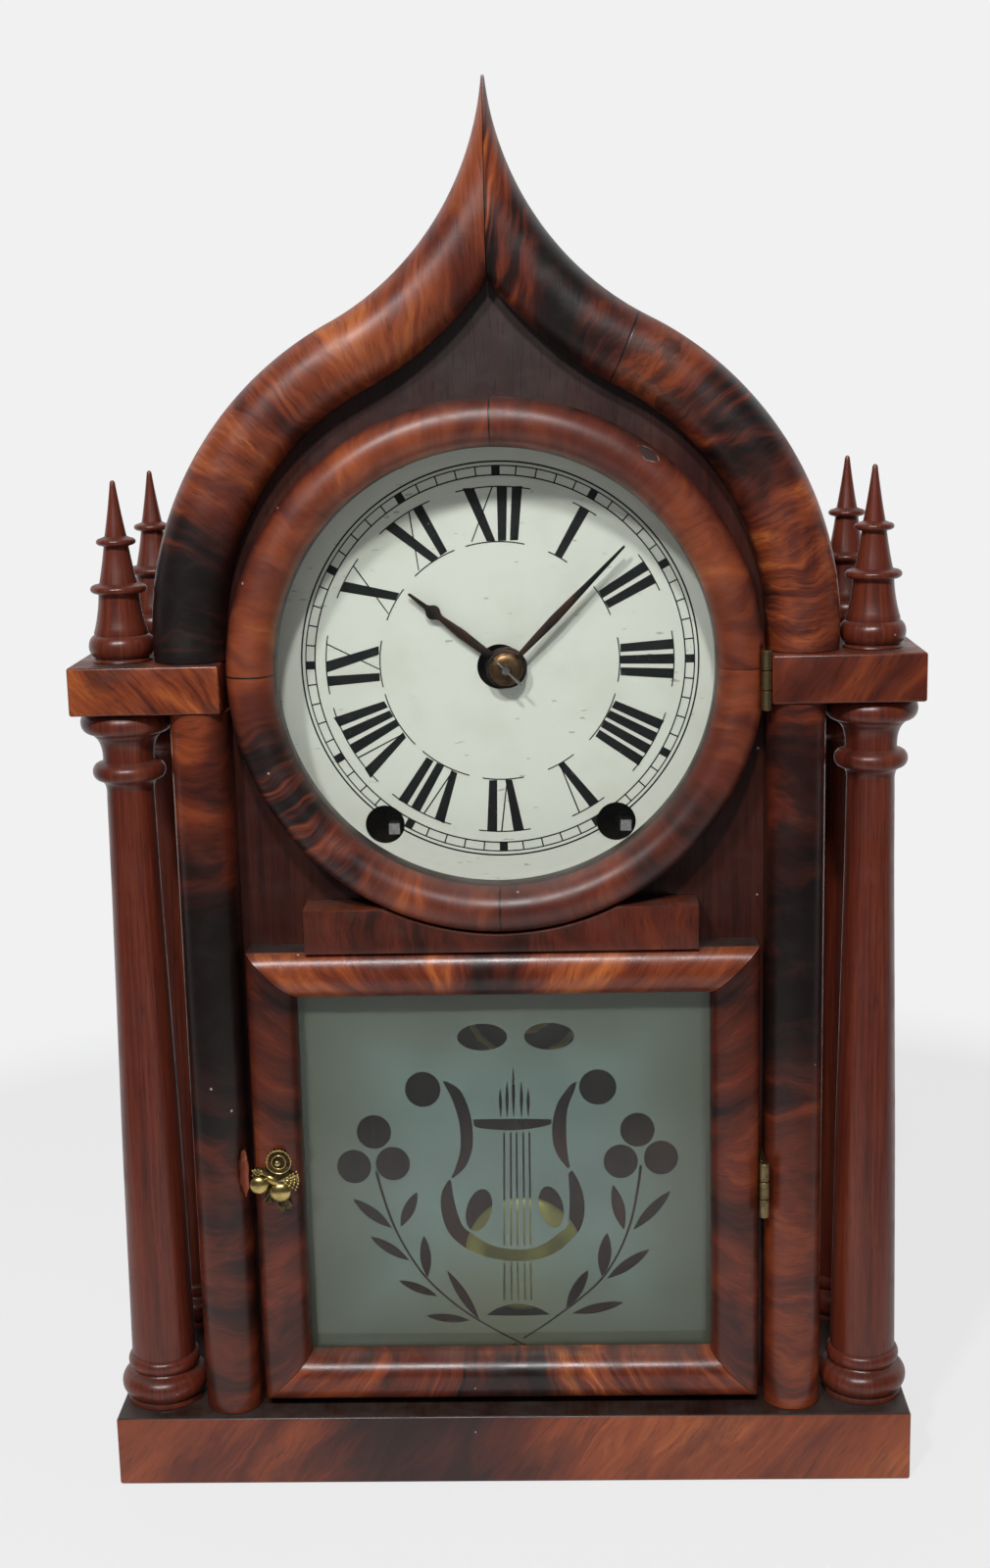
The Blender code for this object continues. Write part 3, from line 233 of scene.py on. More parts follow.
def set_plain(shader, values):
    """Set what is the same all over the surface."""
    for label, value in values.items():
        shader.inputs[label].default_value = value


def mix_shaders(tree, factor, first, second):
    """Send a mix of two shaders to the material's output."""
    inputs = {0: factor, 1: first.outputs[0], 2: second.outputs[0]}
    blend = node(tree, "ShaderNodeMixShader", inputs)
    tree.links.new(blend.outputs[0], tree.nodes["Material Output"].inputs[0])


# Shared surface effects

def flame_figure_group():
    """Crossbanded flame figure: soft clouds, patches of fine streaks square to the run, dark feathers."""
    tree, given, ends = new_group(
        "flame_figure",
        [("Along", "Float", 0.0), ("Across", "Float", 0.0), ("Seed", "Float", 0.0),
         ("Darkness", "Float", 0.0), ("Contrast", "Float", 1.0), ("Streaks", "Float", 0.5),
         ("Feathers", "Float", 0.5)],
        [("Colour", "Color"), ("Pores", "Float")],
    )
    place = joined(tree, given["Along"], given["Across"], given["Seed"])
    sway = node(tree, "ShaderNodeTexNoise", {"Vector": place, "Scale": 34.0, "Detail": 2.0}).outputs[1]
    inputs = {0: sway, 1: (0.02, 0.02, 0.0), 2: (-0.01, -0.01, 0.0)}
    shift = node(tree, "ShaderNodeVectorMath", inputs, operation="MULTIPLY_ADD").outputs[0]
    inputs = {0: place, 1: shift}
    swayed = node(tree, "ShaderNodeVectorMath", inputs, operation="ADD").outputs[0]
    flame = noise(tree, swayed, (44.0, 17.0, 1.0), 4.0, 0.58, 1.0)
    curl = noise(tree, swayed, (460.0, 17.0, 1.0), 2.0)
    fibre = noise(tree, swayed, (1700.0, 90.0, 1.0), 2.0)
    cloud = noise(tree, place, (12.0, 11.0, 1.0), 1.0)
    patch = noise(tree, place, (36.0, 26.0, 1.0), 1.0)
    lively = times(tree, given["Streaks"], band(tree, patch, 0.4, 0.62, 0.3, 1.0))
    tone = times(tree, calc(tree, "SUBTRACT", curl, 0.5), lively)
    for value, weight in ((flame, 1.35), (cloud, 1.0), (fibre, 0.2)):
        tone = calc(tree, "MULTIPLY_ADD", calc(tree, "SUBTRACT", value, 0.5), weight, tone)
    tone = calc(tree, "MULTIPLY_ADD", tone, given["Contrast"], 0.5)
    tone = calc(tree, "SUBTRACT", tone, given["Darkness"], clamp=True)
    colour = ramp(tree, tone, [
        (0.0, (0.008, 0.0045, 0.004)), (0.22, (0.03, 0.0075, 0.005)), (0.48, (0.105, 0.018, 0.0075)),
        (0.72, (0.225, 0.046, 0.0125)), (0.98, (0.4, 0.112, 0.028)),
    ])
    smoke = noise(tree, swayed, (42.0, 30.0, 1.0), 5.0, 0.62)
    smoke = calc(tree, "MULTIPLY_ADD", curl, 0.22, smoke)
    feather = times(tree, band(tree, smoke, 0.66, 0.78), given["Feathers"])
    colour = mix(tree, feather, colour, rgb(0.0125, 0.007, 0.006))
    pore = noise(tree, place, (1500.0, 150.0, 1.0), 1.0)
    hand_out(tree, ends, {"Colour": colour, "Pores": band(tree, pore, 0.6, 0.68)})
    return tree


def straight_grain_group():
    """Plain mahogany: long soft bands and short dark pores along the grain."""
    tree, given, ends = new_group(
        "straight_grain",
        [("Along", "Float", 0.0), ("Across", "Float", 0.0), ("Seed", "Float", 0.0),
         ("Darkness", "Float", 0.0)],
        [("Colour", "Color"), ("Pores", "Float")],
    )
    place = joined(tree, given["Across"], given["Along"], given["Seed"])
    bands = noise(tree, place, (75.0, 6.0, 1.0), 2.0)
    fibres = noise(tree, place, (520.0, 20.0, 1.0), 3.0, 0.6)
    tone = calc(tree, "MULTIPLY_ADD", fibres, 1.0, -0.45)
    tone = calc(tree, "MULTIPLY_ADD", bands, 0.9, tone)
    tone = calc(tree, "SUBTRACT", tone, given["Darkness"], clamp=True)
    colour = ramp(tree, tone, [
        (0.1, (0.032, 0.0065, 0.0045)), (0.5, (0.105, 0.0185, 0.009)), (0.9, (0.165, 0.036, 0.015)),
    ])
    pore = noise(tree, place, (1300.0, 95.0, 1.0), 1.0)
    hand_out(tree, ends, {"Colour": colour, "Pores": band(tree, pore, 0.58, 0.66)})
    return tree


def age_marks_group():
    """Marks of use on varnish: pale specks, dull scuffs, and dust on what faces up."""
    tree, given, ends = new_group(
        "age_marks",
        [("Place", "Vector", (0.0, 0.0, 0.0)), ("Facing", "Vector", (0.0, 0.0, 0.0))],
        [("Specks", "Float"), ("Scuffs", "Float"), ("Dust", "Float")],
    )
    inputs = {"Vector": given["Place"], "Scale": 150.0}
    cells = node(tree, "ShaderNodeTexVoronoi", inputs, feature="F1")
    near = band(tree, cells.outputs["Distance"], 0.05, 0.09, 1.0, 0.0)
    picked = node(tree, "ShaderNodeSeparateColor", {0: cells.outputs["Color"]}).outputs[0]
    few = calc(tree, "GREATER_THAN", picked, 0.955)
    specks = times(tree, near, few)
    rubbed = noise(tree, given["Place"], (60.0, 60.0, 90.0), 5.0, 0.62)
    scuffs = band(tree, rubbed, 0.42, 0.7)
    upward = split(tree, given["Facing"])[2]
    upward = band(tree, upward, 0.55, 0.98)
    drift = noise(tree, given["Place"], 55.0, 4.0, 0.6)
    dust = times(tree, upward, band(tree, drift, 0.3, 0.75))
    hand_out(tree, ends, {"Specks": specks, "Scuffs": scuffs, "Dust": dust})
    return tree


def tarnish_group():
    """Cloudy tarnish on old metal, with fine brushed marks."""
    tree, given, ends = new_group(
        "tarnish",
        [("Place", "Vector", (0.0, 0.0, 0.0)), ("Size", "Float", 90.0)],
        [("Tarnish", "Float"), ("Brushed", "Float")],
    )
    cloud = noise(tree, given["Place"], given["Size"], 5.0, 0.65)
    brushed = noise(tree, given["Place"], (2600.0, 2600.0, 240.0), 2.0)
    hand_out(tree, ends, {"Tarnish": band(tree, cloud, 0.38, 0.68), "Brushed": brushed})
    return tree


FLAME = flame_figure_group()
GRAIN = straight_grain_group()
AGE = age_marks_group()
TARNISH = tarnish_group()


# Materials

def object_place(tree):
    return node(tree, "ShaderNodeTexCoord").outputs["Object"]


def run_and_width(tree):
    """The piece's own map: metres along its run and across it."""
    uv = node(tree, "ShaderNodeUVMap", uv_map=UV_NAME).outputs[0]
    parts = split(tree, uv)
    return parts[0], parts[1]


def varnish(tree, shader, colour, pores, gloss=0.3, joint=None, open_pores=0.35, crackle=0.4):
    """Pores, specks, dust and an old satin polish over a wood colour."""
    facing = node(tree, "ShaderNodeNewGeometry").outputs["Normal"]
    place = object_place(tree)
    age = effect(tree, AGE, {"Place": place, "Facing": facing})
    pored = times(tree, pores, open_pores)
    colour = mix(tree, pored, colour, rgb(0.012, 0.005, 0.0045))
    if joint is not None:
        colour = mix(tree, joint, colour, rgb(0.008, 0.004, 0.004))
    dusty = times(tree, age["Dust"], 0.5)
    colour = mix(tree, dusty, colour, rgb(0.05, 0.04, 0.034))
    spotted = times(tree, age["Specks"], 0.6)
    colour = mix(tree, spotted, colour, rgb(0.5, 0.45, 0.4))
    rough = calc(tree, "MULTIPLY_ADD", age["Scuffs"], 0.14, gloss)
    rough = calc(tree, "MULTIPLY_ADD", age["Dust"], 0.3, rough, clamp=True)
    ripple = noise(tree, place, 1100.0, 3.0)
    height = calc(tree, "MULTIPLY_ADD", pored, -1.2, times(tree, ripple, crackle))
    if joint is not None:
        height = calc(tree, "MULTIPLY_ADD", joint, -2.0, height)
    surface(tree, shader, colour, rough, height, 0.25, 0.0001)
    coated = gloss < 0.35
    set_plain(shader, {
        "Coat Weight": 0.12 if coated else 0.0, "Coat Roughness": 0.26,
        "Specular IOR Level": 0.4 if coated else 0.55,
    })


def joint_lines(tree, along, joints):
    """A mask of thin open joints at places along the run, in millimetres."""
    mask = None
    for place in joints:
        line = band(tree, distance(tree, along, place * MM), JOINT_CORE * MM, JOINT_EDGE * MM, 1.0, 0.0)
        mask = line if mask is None else larger(tree, mask, line)
    return mask


def zone_sum(tree, along, zones, start):
    """A value raised round places along the run, each (middle, half length, amount)."""
    total = start
    for middle, half, amount in zones:
        away = distance(tree, along, middle * MM)
        total = calc(tree, "ADD", band(tree, away, 0.25 * half * MM, half * MM, amount, 0.0), total)
    return total


def scar(tree, colour, along, across, middle, reach):
    """An eye-shaped chip in the veneer: dark inside, with a pale broken rim."""
    aside = calc(tree, "DIVIDE", calc(tree, "SUBTRACT", along, middle[0] * MM), reach[0] * MM)
    upward = calc(tree, "DIVIDE", calc(tree, "SUBTRACT", across, middle[1] * MM), reach[1] * MM)
    away = calc(tree, "ADD", calc(tree, "ABSOLUTE", aside), calc(tree, "POWER", upward, 2.0))
    colour = mix(tree, band(tree, away, 0.8, 1.0, 0.85, 0.0), colour, rgb(0.03, 0.024, 0.022))
    broken = band(tree, noise(tree, object_place(tree), 240.0), 0.45, 0.6)
    rim = times(tree, band(tree, away, 0.8, 0.9), band(tree, away, 0.95, 1.1, 0.8, 0.0))
    rim = times(tree, rim, broken)
    return mix(tree, rim, colour, rgb(0.2, 0.17, 0.15))


def flame_veneer(name, seed, darkness=0.0, contrast=1.0, streaks=0.5, feathers=0.5, slant=0.0,
                 tip_slant=None, joints=(), dark=(), lively=(), gloss=0.3, open_pores=0.35,
                 crackle=0.4, chip=None, painted_edge_shade=None):
    """Flame figure across the piece, leaning by slant; dark and lively zones are given along the run.

    A painted shade darkens one edge: (where it is full, where it ends, amount) across the piece.
    """
    material, tree, shader = new_material(name)
    along, across = run_and_width(tree)
    if tip_slant is not None:
        slant = band(tree, along, 0.14, 0.23, slant, tip_slant)
    leaning = calc(tree, "MULTIPLY_ADD", across, slant, along)
    shade = zone_sum(tree, along, dark, darkness)
    # Painted shade: one edge of the piece darkened across it.
    if painted_edge_shade is not None:
        full, end, amount = painted_edge_shade
        shade = calc(tree, "ADD", band(tree, across, full * MM, end * MM, amount, 0.0), shade)
    inputs = {"Along": leaning, "Across": across, "Seed": seed, "Feathers": feathers, "Darkness": shade,
              "Contrast": zone_sum(tree, along, lively, contrast),
              "Streaks": zone_sum(tree, along, lively, streaks)}
    figure = effect(tree, FLAME, inputs)
    colour = figure["Colour"]
    if chip is not None:
        colour = scar(tree, colour, along, across, *chip)
    joint = joint_lines(tree, along, joints)
    varnish(tree, shader, colour, figure["Pores"], gloss, joint, open_pores, crackle)
    return material


def bare_wood():
    """Fresh reddish wood where the veneer has broken away."""
    material, tree, shader = new_material("bare_wood")
    fibre = noise(tree, object_place(tree), (900.0, 900.0, 120.0), 3.0)
    colour = mix(tree, band(tree, fibre, 0.3, 0.7), rgb(0.30, 0.075, 0.032), rgb(0.18, 0.042, 0.02))
    rough = band(tree, fibre, 0.3, 0.7, 0.55, 0.75)
    surface(tree, shader, colour, rough, fibre, 0.4, 0.0002)
    return material


def plain_mahogany(name, seed, darkness=0.0, upright=True):
    """Plain wood with its grain upright on the piece's map, or along it."""
    material, tree, shader = new_material(name)
    first, second = run_and_width(tree)
    along, across = (second, first) if upright else (first, second)
    inputs = {"Along": along, "Across": across, "Seed": seed, "Darkness": darkness}
    grain = effect(tree, GRAIN, inputs)
    varnish(tree, shader, grain["Colour"], grain["Pores"])
    return material


def dark_board(name, seed, shade, painted_sheen_height=None):
    """Stained straight-grained wood, which also serves as painted shade; above a given height, a grey mix
    paints the lamps' hazy sheen on the polish.
    """
    material, tree, shader = new_material(name)
    across, along = run_and_width(tree)
    inputs = {"Along": along, "Across": across, "Seed": seed}
    grain = effect(tree, GRAIN, inputs)
    colour = mix(tree, 1.0, grain["Colour"], rgb(*shade), "MULTIPLY")
    if painted_sheen_height is not None:
        # Painted sheen: a grey mix toward the top of the board, for the lamps' haze.
        height = split(tree, object_place(tree))[2]
        painted_sheen = band(tree, height, painted_sheen_height - 0.03, painted_sheen_height + 0.02, 0.0, 0.62)
        colour = mix(tree, painted_sheen, colour, rgb(0.05, 0.041, 0.041))
    varnish(tree, shader, colour, grain["Pores"], 0.34)
    return material


def metal(name, bright, dark, rough, amount, size=90.0, metallic=1.0):
    """Old metal: a bright tone clouded by tarnish."""
    material, tree, shader = new_material(name)
    inputs = {"Place": object_place(tree), "Size": size}
    aged = effect(tree, TARNISH, inputs)
    cover = times(tree, aged["Tarnish"], amount)
    colour = mix(tree, cover, rgb(*bright), rgb(*dark))
    dull = calc(tree, "MULTIPLY_ADD", cover, 0.28, rough)
    surface(tree, shader, colour, dull, aged["Brushed"], 0.06, 0.0001)
    set_plain(shader, {"Metallic": metallic})
    return material


def arbor_steel():
    """Winding arbors: bright on the worn front end; behind it near black, as painted shade in the winding
    holes.
    """
    material, tree, shader = new_material("winding_arbor_steel")
    toward = split(tree, object_place(tree))[1]
    worn = band(tree, toward, -0.0209, -0.0202, 1.0, 0.0)
    scratch = noise(tree, object_place(tree), 900.0, 3.0)
    bright = mix(tree, scratch, rgb(0.14, 0.14, 0.145), rgb(0.42, 0.42, 0.42))
    # Near black behind the front end: painted shade in the winding holes.
    colour = mix(tree, worn, rgb(0.016, 0.015, 0.014), bright)
    surface(tree, shader, colour, band(tree, scratch, 0.3, 0.7, 0.35, 0.5), scratch, 0.1, 0.0001)
    set_plain(shader, {"Metallic": 0.4})
    return material


def dial_paint():
    """Aged off-white paint: faint stains, fine crazing and a few dark flecks."""
    material, tree, shader = new_material("dial_white_paint")
    place = object_place(tree)
    stain = noise(tree, place, 38.0, 5.0, 0.6)
    colour = mix(tree, band(tree, stain, 0.42, 0.72), rgb(0.69, 0.705, 0.64), rgb(0.63, 0.645, 0.57))
    fine = noise(tree, place, 900.0, 3.0, 0.6)
    colour = mix(tree, band(tree, fine, 0.62, 0.8, 0.0, 0.35), colour, rgb(0.42, 0.42, 0.34))
    fleck = noise(tree, place, (150.0, 150.0, 620.0), 2.0)
    colour = mix(tree, band(tree, fleck, 0.71, 0.76, 0.0, 0.6), colour, rgb(0.22, 0.21, 0.18))
    rough = band(tree, stain, 0.3, 0.7, 0.42, 0.6)
    surface(tree, shader, colour, rough, fine, 0.08, 0.0001)
    return material


def printed_black():
    """Black print, flaked in places."""
    material, tree, shader = new_material("printed_black")
    worn = noise(tree, object_place(tree), 700.0, 4.0, 0.65)
    flaked = band(tree, worn, 0.69, 0.75, 0.0, 0.7)
    colour = mix(tree, flaked, rgb(0.006, 0.006, 0.007), rgb(0.4, 0.41, 0.37))
    rough = band(tree, worn, 0.3, 0.7, 0.4, 0.6)
    surface(tree, shader, colour, rough, worn, 0.05, 0.0001)
    set_plain(shader, {"Specular IOR Level": 0.2})
    return material


def pane(name, tint):
    """Clear old glass: it lets lamps through, and shows faint waves in its gloss."""
    material, tree, shader = new_material(name)
    waves = noise(tree, object_place(tree), 22.0)
    surface(tree, shader, height=waves, strength=0.03, depth=0.002)
    set_plain(shader, {"Base Color": rgb(*tint), "Roughness": 0.0, "IOR": 1.45, "Transmission Weight": 1.0})
    clear = node(tree, "ShaderNodeBsdfTransparent", {0: rgb(*tint)})
    path = node(tree, "ShaderNodeLightPath").outputs
    passing = larger(tree, path["Is Shadow Ray"], path["Is Diffuse Ray"])
    mix_shaders(tree, passing, shader, clear)
    return material


def frosted_glass():
    """The ground surface of the tablet: grey-green, browner to its edges, with a painted glow where the bob
    shows through and a painted rebate shadow round its rim; it passes some lamp light.
    """
    material, tree, shader = new_material("frosted_glass")
    place = object_place(tree)
    parts = split(tree, place)
    side = calc(tree, "ABSOLUTE", parts[0])
    upright = distance(tree, parts[2], 0.118)
    edge = larger(tree, band(tree, side, 0.028, 0.076), band(tree, upright, 0.03, 0.073))
    # Painted shadow of the rebate along the frost's edges.
    rim = larger(tree, band(tree, side, 0.0715, 0.0745), band(tree, upright, 0.0685, 0.071))
    # Painted glow of the lit bob showing through the frost.
    aside = band(tree, distance(tree, parts[0], -0.004), 0.0, 0.05, 1.0, 0.0)
    painted_bob_glow = times(tree, aside, band(tree, parts[2], 0.06, 0.105, 1.0, 0.0))
    cloud = noise(tree, place, 30.0, 3.0)
    colour = mix(tree, band(tree, cloud, 0.35, 0.7), rgb(0.132, 0.172, 0.162), rgb(0.106, 0.138, 0.13))
    colour = mix(tree, times(tree, painted_bob_glow, 0.75), colour, rgb(0.15, 0.15, 0.095))
    colour = mix(tree, times(tree, edge, 0.85), colour, rgb(0.086, 0.085, 0.06))
    colour = mix(tree, times(tree, rim, 0.6), colour, rgb(0.03, 0.032, 0.022))
    speck = noise(tree, place, 520.0, 3.0, 0.6)
    colour = mix(tree, band(tree, speck, 0.62, 0.78, 0.0, 0.15), colour, rgb(0.05, 0.06, 0.055))
    surface(tree, shader, colour)
    set_plain(shader, {"Roughness": 0.6, "Specular IOR Level": 0.2})
    through = node(tree, "ShaderNodeBsdfTransparent", {0: rgb(0.5, 0.52, 0.48)})
    shadow = node(tree, "ShaderNodeLightPath").outputs["Is Shadow Ray"]
    mix_shaders(tree, shadow, shader, through)
    return material


ARCH_LEFT_WOOD = flame_veneer(
    "arch_left_veneer", 0.3, -0.06, 1.0, 1.0, 0.2, tip_slant=-0.7,
    dark=((14.0, 48.0, 0.5), (225.0, 40.0, 0.2), (300.0, 90.0, 0.42)), gloss=0.36)
ARCH_RIGHT_WOOD = flame_veneer(
    "arch_right_veneer", 1.7, 0.02, 1.05, 0.7, 0.7, slant=-0.1, tip_slant=-0.7, joints=(129.5,),
    dark=((156.0, 17.0, 0.4), (84.0, 22.0, 0.16), (118.0, 20.0, -0.2), (24.0, 44.0, -0.4),
          (228.0, 30.0, 0.15), (300.0, 80.0, 0.35)),
    lively=((192.0, 34.0, 0.8), (118.0, 20.0, -0.5), (30.0, 40.0, 0.5), (84.0, 24.0, 0.6)), gloss=0.36)
# The bezel's outer side is darkened across it as painted shade.
RING_WOOD = flame_veneer(
    "bezel_veneer", 2.9, -0.06, 0.75, 0.4, 0.25, joints=(0.0, 148.7, 297.5, 446.3),
    dark=((275.0, 24.0, 0.22), (225.0, 36.0, 0.3), (148.0, 34.0, 0.13), (74.0, 48.0, 0.32)),
    lively=((237.0, 55.0, 0.8),), gloss=0.38, open_pores=0.12, chip=((505.8, 19.0), (4.6, 2.8)),
    painted_edge_shade=(13.0, 21.0, 0.22))
BRIDGE_WOOD = flame_veneer("bridge_veneer", 3.3, 0.06, 0.7, 0.4, 0.3)
RAIL_TOP_WOOD = flame_veneer(
    "top_rail_veneer", 4.1, -0.27, 1.15, 0.7, 0.5, dark=((80.0, 20.0, 0.42),), gloss=0.28, crackle=1.5)
RAIL_BOTTOM_WOOD = flame_veneer(
    "bottom_rail_veneer", 4.7, -0.2, 1.15, 0.7, 0.6, dark=((86.0, 18.0, 0.3),), lively=((86.0, 50.0, 0.4),),
    gloss=0.28, crackle=1.5)
STILE_WOOD = flame_veneer("stile_veneer", 5.6, 0.2, 1.0, 0.3, 0.5)
PILASTER_LEFT_WOOD = flame_veneer("left_pilaster_veneer", 6.2, 0.0, 1.0, 0.4, 0.6, dark=((154.0, 78.0, 0.5),))
PILASTER_RIGHT_WOOD = flame_veneer(
    "right_pilaster_veneer", 6.9, 0.0, 0.9, 0.4, 0.6, dark=((172.0, 72.0, 0.5), (250.0, 40.0, 0.15)))
BLOCK_LEFT_WOOD = flame_veneer("left_block_veneer", 7.7, -0.04, 1.1, 0.6, 0.5, slant=0.8)
BLOCK_RIGHT_WOOD = flame_veneer("right_block_veneer", 9.2, -0.08, 0.7, 0.4, 0.3, slant=-0.6)
PLINTH_WOOD = flame_veneer(
    "plinth_veneer", 8.4, -0.12, 0.55, 0.7, 0.35, slant=-0.7, dark=((-24.0, 60.0, 0.42),), gloss=0.4)
TURNED_WOOD = plain_mahogany("turned_mahogany", 1.0)
SIDE_WOOD = plain_mahogany("side_mahogany", 3.0, 0.12)
ROOF_WOOD = plain_mahogany("roof_mahogany", 4.0, 0.2, False)
# The front board takes the painted grey sheen above 0.4 m.
FRONT_WOOD = dark_board("front_board_wood", 5.0, (0.36, 0.36, 0.38), 0.4)
# Dark wood for the plinth's top, also used as painted shade on the bezel's inner lip and on the rails' outer
# faces.
DARK_TOP_AND_PAINTED_SHADE_WOOD = dark_board("dark_top_and_painted_shade_wood", 7.0, (0.22, 0.42, 0.55))
BACK_WOOD = dark_board("backboard_wood", 6.0, (0.62, 0.9, 0.95))
BARE_WOOD = bare_wood()
BRASS = metal("clock_brass", (0.52, 0.36, 0.13), (0.16, 0.105, 0.045), 0.28, 0.75)
# Near-black brass: painted shade on the movement's front plate and front wheels, seen through the dial's
# holes.
PLATE_BRASS_PAINTED_SHADE = metal("plate_brass_painted_shade", (0.03, 0.022, 0.012), (0.012, 0.01, 0.008), 0.5, 0.9)
BOB_BRASS = metal("bob_brass", (0.44, 0.40, 0.11), (0.24, 0.21, 0.07), 0.42, 0.6, 60.0, 0.35)
# A brighter copy of the brass: painted light on the gong in the dim case.
GONG_BRASS_PAINTED_LIGHT = metal("gong_brass_painted_light", (0.78, 0.62, 0.18), (0.42, 0.33, 0.09), 0.45, 0.4, 60.0, 0.3)
BRONZE = metal("washer_bronze", (0.16, 0.09, 0.042), (0.05, 0.03, 0.018), 0.3, 0.8, 400.0)
HINGE_BRASS = metal("hinge_brass", (0.30, 0.23, 0.11), (0.09, 0.072, 0.04), 0.38, 0.8, 300.0)
LATCH_BRASS = metal("latch_brass", (0.66, 0.5, 0.19), (0.2, 0.14, 0.055), 0.22, 0.5, 260.0)
LEAF_BRASS = metal("latch_leaf_brass", (0.13, 0.1, 0.05), (0.016, 0.014, 0.012), 0.34, 0.95, 420.0)
STEEL = metal("bright_steel", (0.42, 0.41, 0.40), (0.16, 0.14, 0.12), 0.3, 0.7)
PIN_STEEL = metal("pin_steel", (0.62, 0.62, 0.62), (0.3, 0.29, 0.28), 0.2, 0.5)
BLACK_STEEL = metal("blackened_steel", (0.02, 0.02, 0.021), (0.045, 0.022, 0.012), 0.4, 0.8, 130.0)
ARBOR_STEEL = arbor_steel()
DIAL_PAINT = dial_paint()
INK = printed_black()
DIAL_PANE = pane("dial_clear_glass", (0.97, 0.985, 0.97))
TABLET_PANE = pane("tablet_clear_glass", (0.94, 0.97, 0.95))
FROST = frosted_glass()


# Mesh helpers, in millimetres

def finished(bm, name, sharp=35.0):
    """Merge, face outward, bring shape and map to metres, and shade."""
    bmesh.ops.remove_doubles(bm, verts=bm.verts, dist=MERGE)
    bmesh.ops.recalc_face_normals(bm, faces=bm.faces)
    if bm.calc_volume(signed=True) < 0:
        bmesh.ops.reverse_faces(bm, faces=bm.faces)
    layer = bm.loops.layers.uv[0]
    for face in bm.faces:
        for loop in face.loops:
            loop[layer].uv *= MM
    bmesh.ops.scale(bm, vec=(MM, MM, MM), verts=bm.verts)
    mesh = bpy.data.meshes.new(name)
    bm.to_mesh(mesh)
    bm.free()
    mesh.shade_smooth()
    mesh.set_sharp_from_angle(angle=math.radians(sharp))
    return mesh


def show(name, data):
    """An object in the scene."""
    made = bpy.data.objects.new(name, data)
    bpy.context.scene.collection.objects.link(made)
    return made


def plain_mesh(holder):
    """What an object looks like once evaluated, as a mesh; the object goes."""
    graph = bpy.context.evaluated_depsgraph_get()
    made = bpy.data.meshes.new_from_object(holder.evaluated_get(graph))
    bpy.data.objects.remove(holder)
    return made


def new_bmesh():
    bm = bmesh.new()
    bm.loops.layers.uv.new(UV_NAME)
    return bm


def map_flat(bm, faces):
    """Map faces from the side they look to, in millimetres."""
    layer = bm.loops.layers.uv[0]
    bm.normal_update()
    for face in faces:
        facing = [abs(part) for part in face.normal]
        main = facing.index(max(facing))
        first, second = ((1, 2), (0, 2), (0, 1))[main]
        for loop in face.loops:
            loop[layer].uv = (loop.vert.co[first], loop.vert.co[second])


def add_grid(bm, rows, along, across, close_rows=False, close_columns=False):
    """Faces through rows of points; along and across are the map's distances."""
    layer = bm.loops.layers.uv[0]
    verts = [[bm.verts.new(point) for point in row] for row in rows]
    row_count, column_count = len(rows), len(rows[0])
    row_steps = row_count if close_rows else row_count - 1
    column_steps = column_count if close_columns else column_count - 1
    for row in range(row_steps):
        for column in range(column_steps):
            corners = ((row, column), (row + 1, column), (row + 1, column + 1), (row, column + 1))
            face = bm.faces.new([verts[a % row_count][b % column_count] for a, b in corners])
            for loop, (a, b) in zip(face.loops, corners):
                loop[layer].uv = (along[a], across[b])
    return verts


def lengths(points, closed=False):
    """Running lengths along points; a closed run gets its last length too."""
    total = [0.0]
    ends = list(points[1:]) + ([points[0]] if closed else [])
    for start, end in zip(points, ends):
        total.append(total[-1] + math.dist(start, end))
    return total


def run_mesh(name, rows):
    """A solid swept through closed sections, with flat ends."""
    bm = new_bmesh()
    middle = [row[len(row) // 2] for row in rows]
    section = rows[len(rows) // 2]
    verts = add_grid(bm, rows, lengths(middle), lengths(section, True), close_columns=True)
    map_flat(bm, [bm.faces.new(verts[0]), bm.faces.new(verts[-1])])
    return finished(bm, name)


def turned_mesh(name, profile, steps, centre, upright=True, closed=False):
    """A turned solid from (radius, height) points, about an upright or a fore-and-aft axis."""
    rows = []
    for step in range(steps):
        angle = math.tau * step / steps
        row = []
        for radius, height in profile:
            side, other = radius * math.cos(angle), radius * math.sin(angle)
            offset = (side, other, height) if upright else (side, height, -other)
            row.append(tuple(Vector(centre) + Vector(offset)))
        rows.append(row)
    bm = new_bmesh()
    broad = max(radius for radius, height in profile)
    along = [math.tau * broad * step / steps for step in range(steps + 1)]
    across = [height for radius, height in profile] if upright else lengths(profile, closed)
    add_grid(bm, rows, along, across, close_rows=True, close_columns=closed)
    bmesh.ops.remove_doubles(bm, verts=bm.verts, dist=MERGE)
    bmesh.ops.dissolve_degenerate(bm, dist=MERGE, edges=bm.edges)
    return finished(bm, name)


def rod_mesh(name, radius, front, back, steps, x, z):
    """A plain round rod from front to back."""
    profile = [(0.0, front), (radius, front), (radius, back), (0.0, back)]
    return turned_mesh(name, profile, steps, (x, 0.0, z), upright=False)


def box_mesh(name, low, high, bevel):
    """A box between two corners, with rounded edges."""
    bm = new_bmesh()
    bmesh.ops.create_cube(bm, size=1.0)
    bmesh.ops.scale(bm, vec=Vector(high) - Vector(low), verts=bm.verts)
    bmesh.ops.translate(bm, vec=(Vector(low) + Vector(high)) / 2, verts=bm.verts)
    bmesh.ops.bevel(bm, geom=bm.edges, offset=bevel, segments=3, profile=0.5, affect="EDGES")
    map_flat(bm, bm.faces)
    return finished(bm, name)


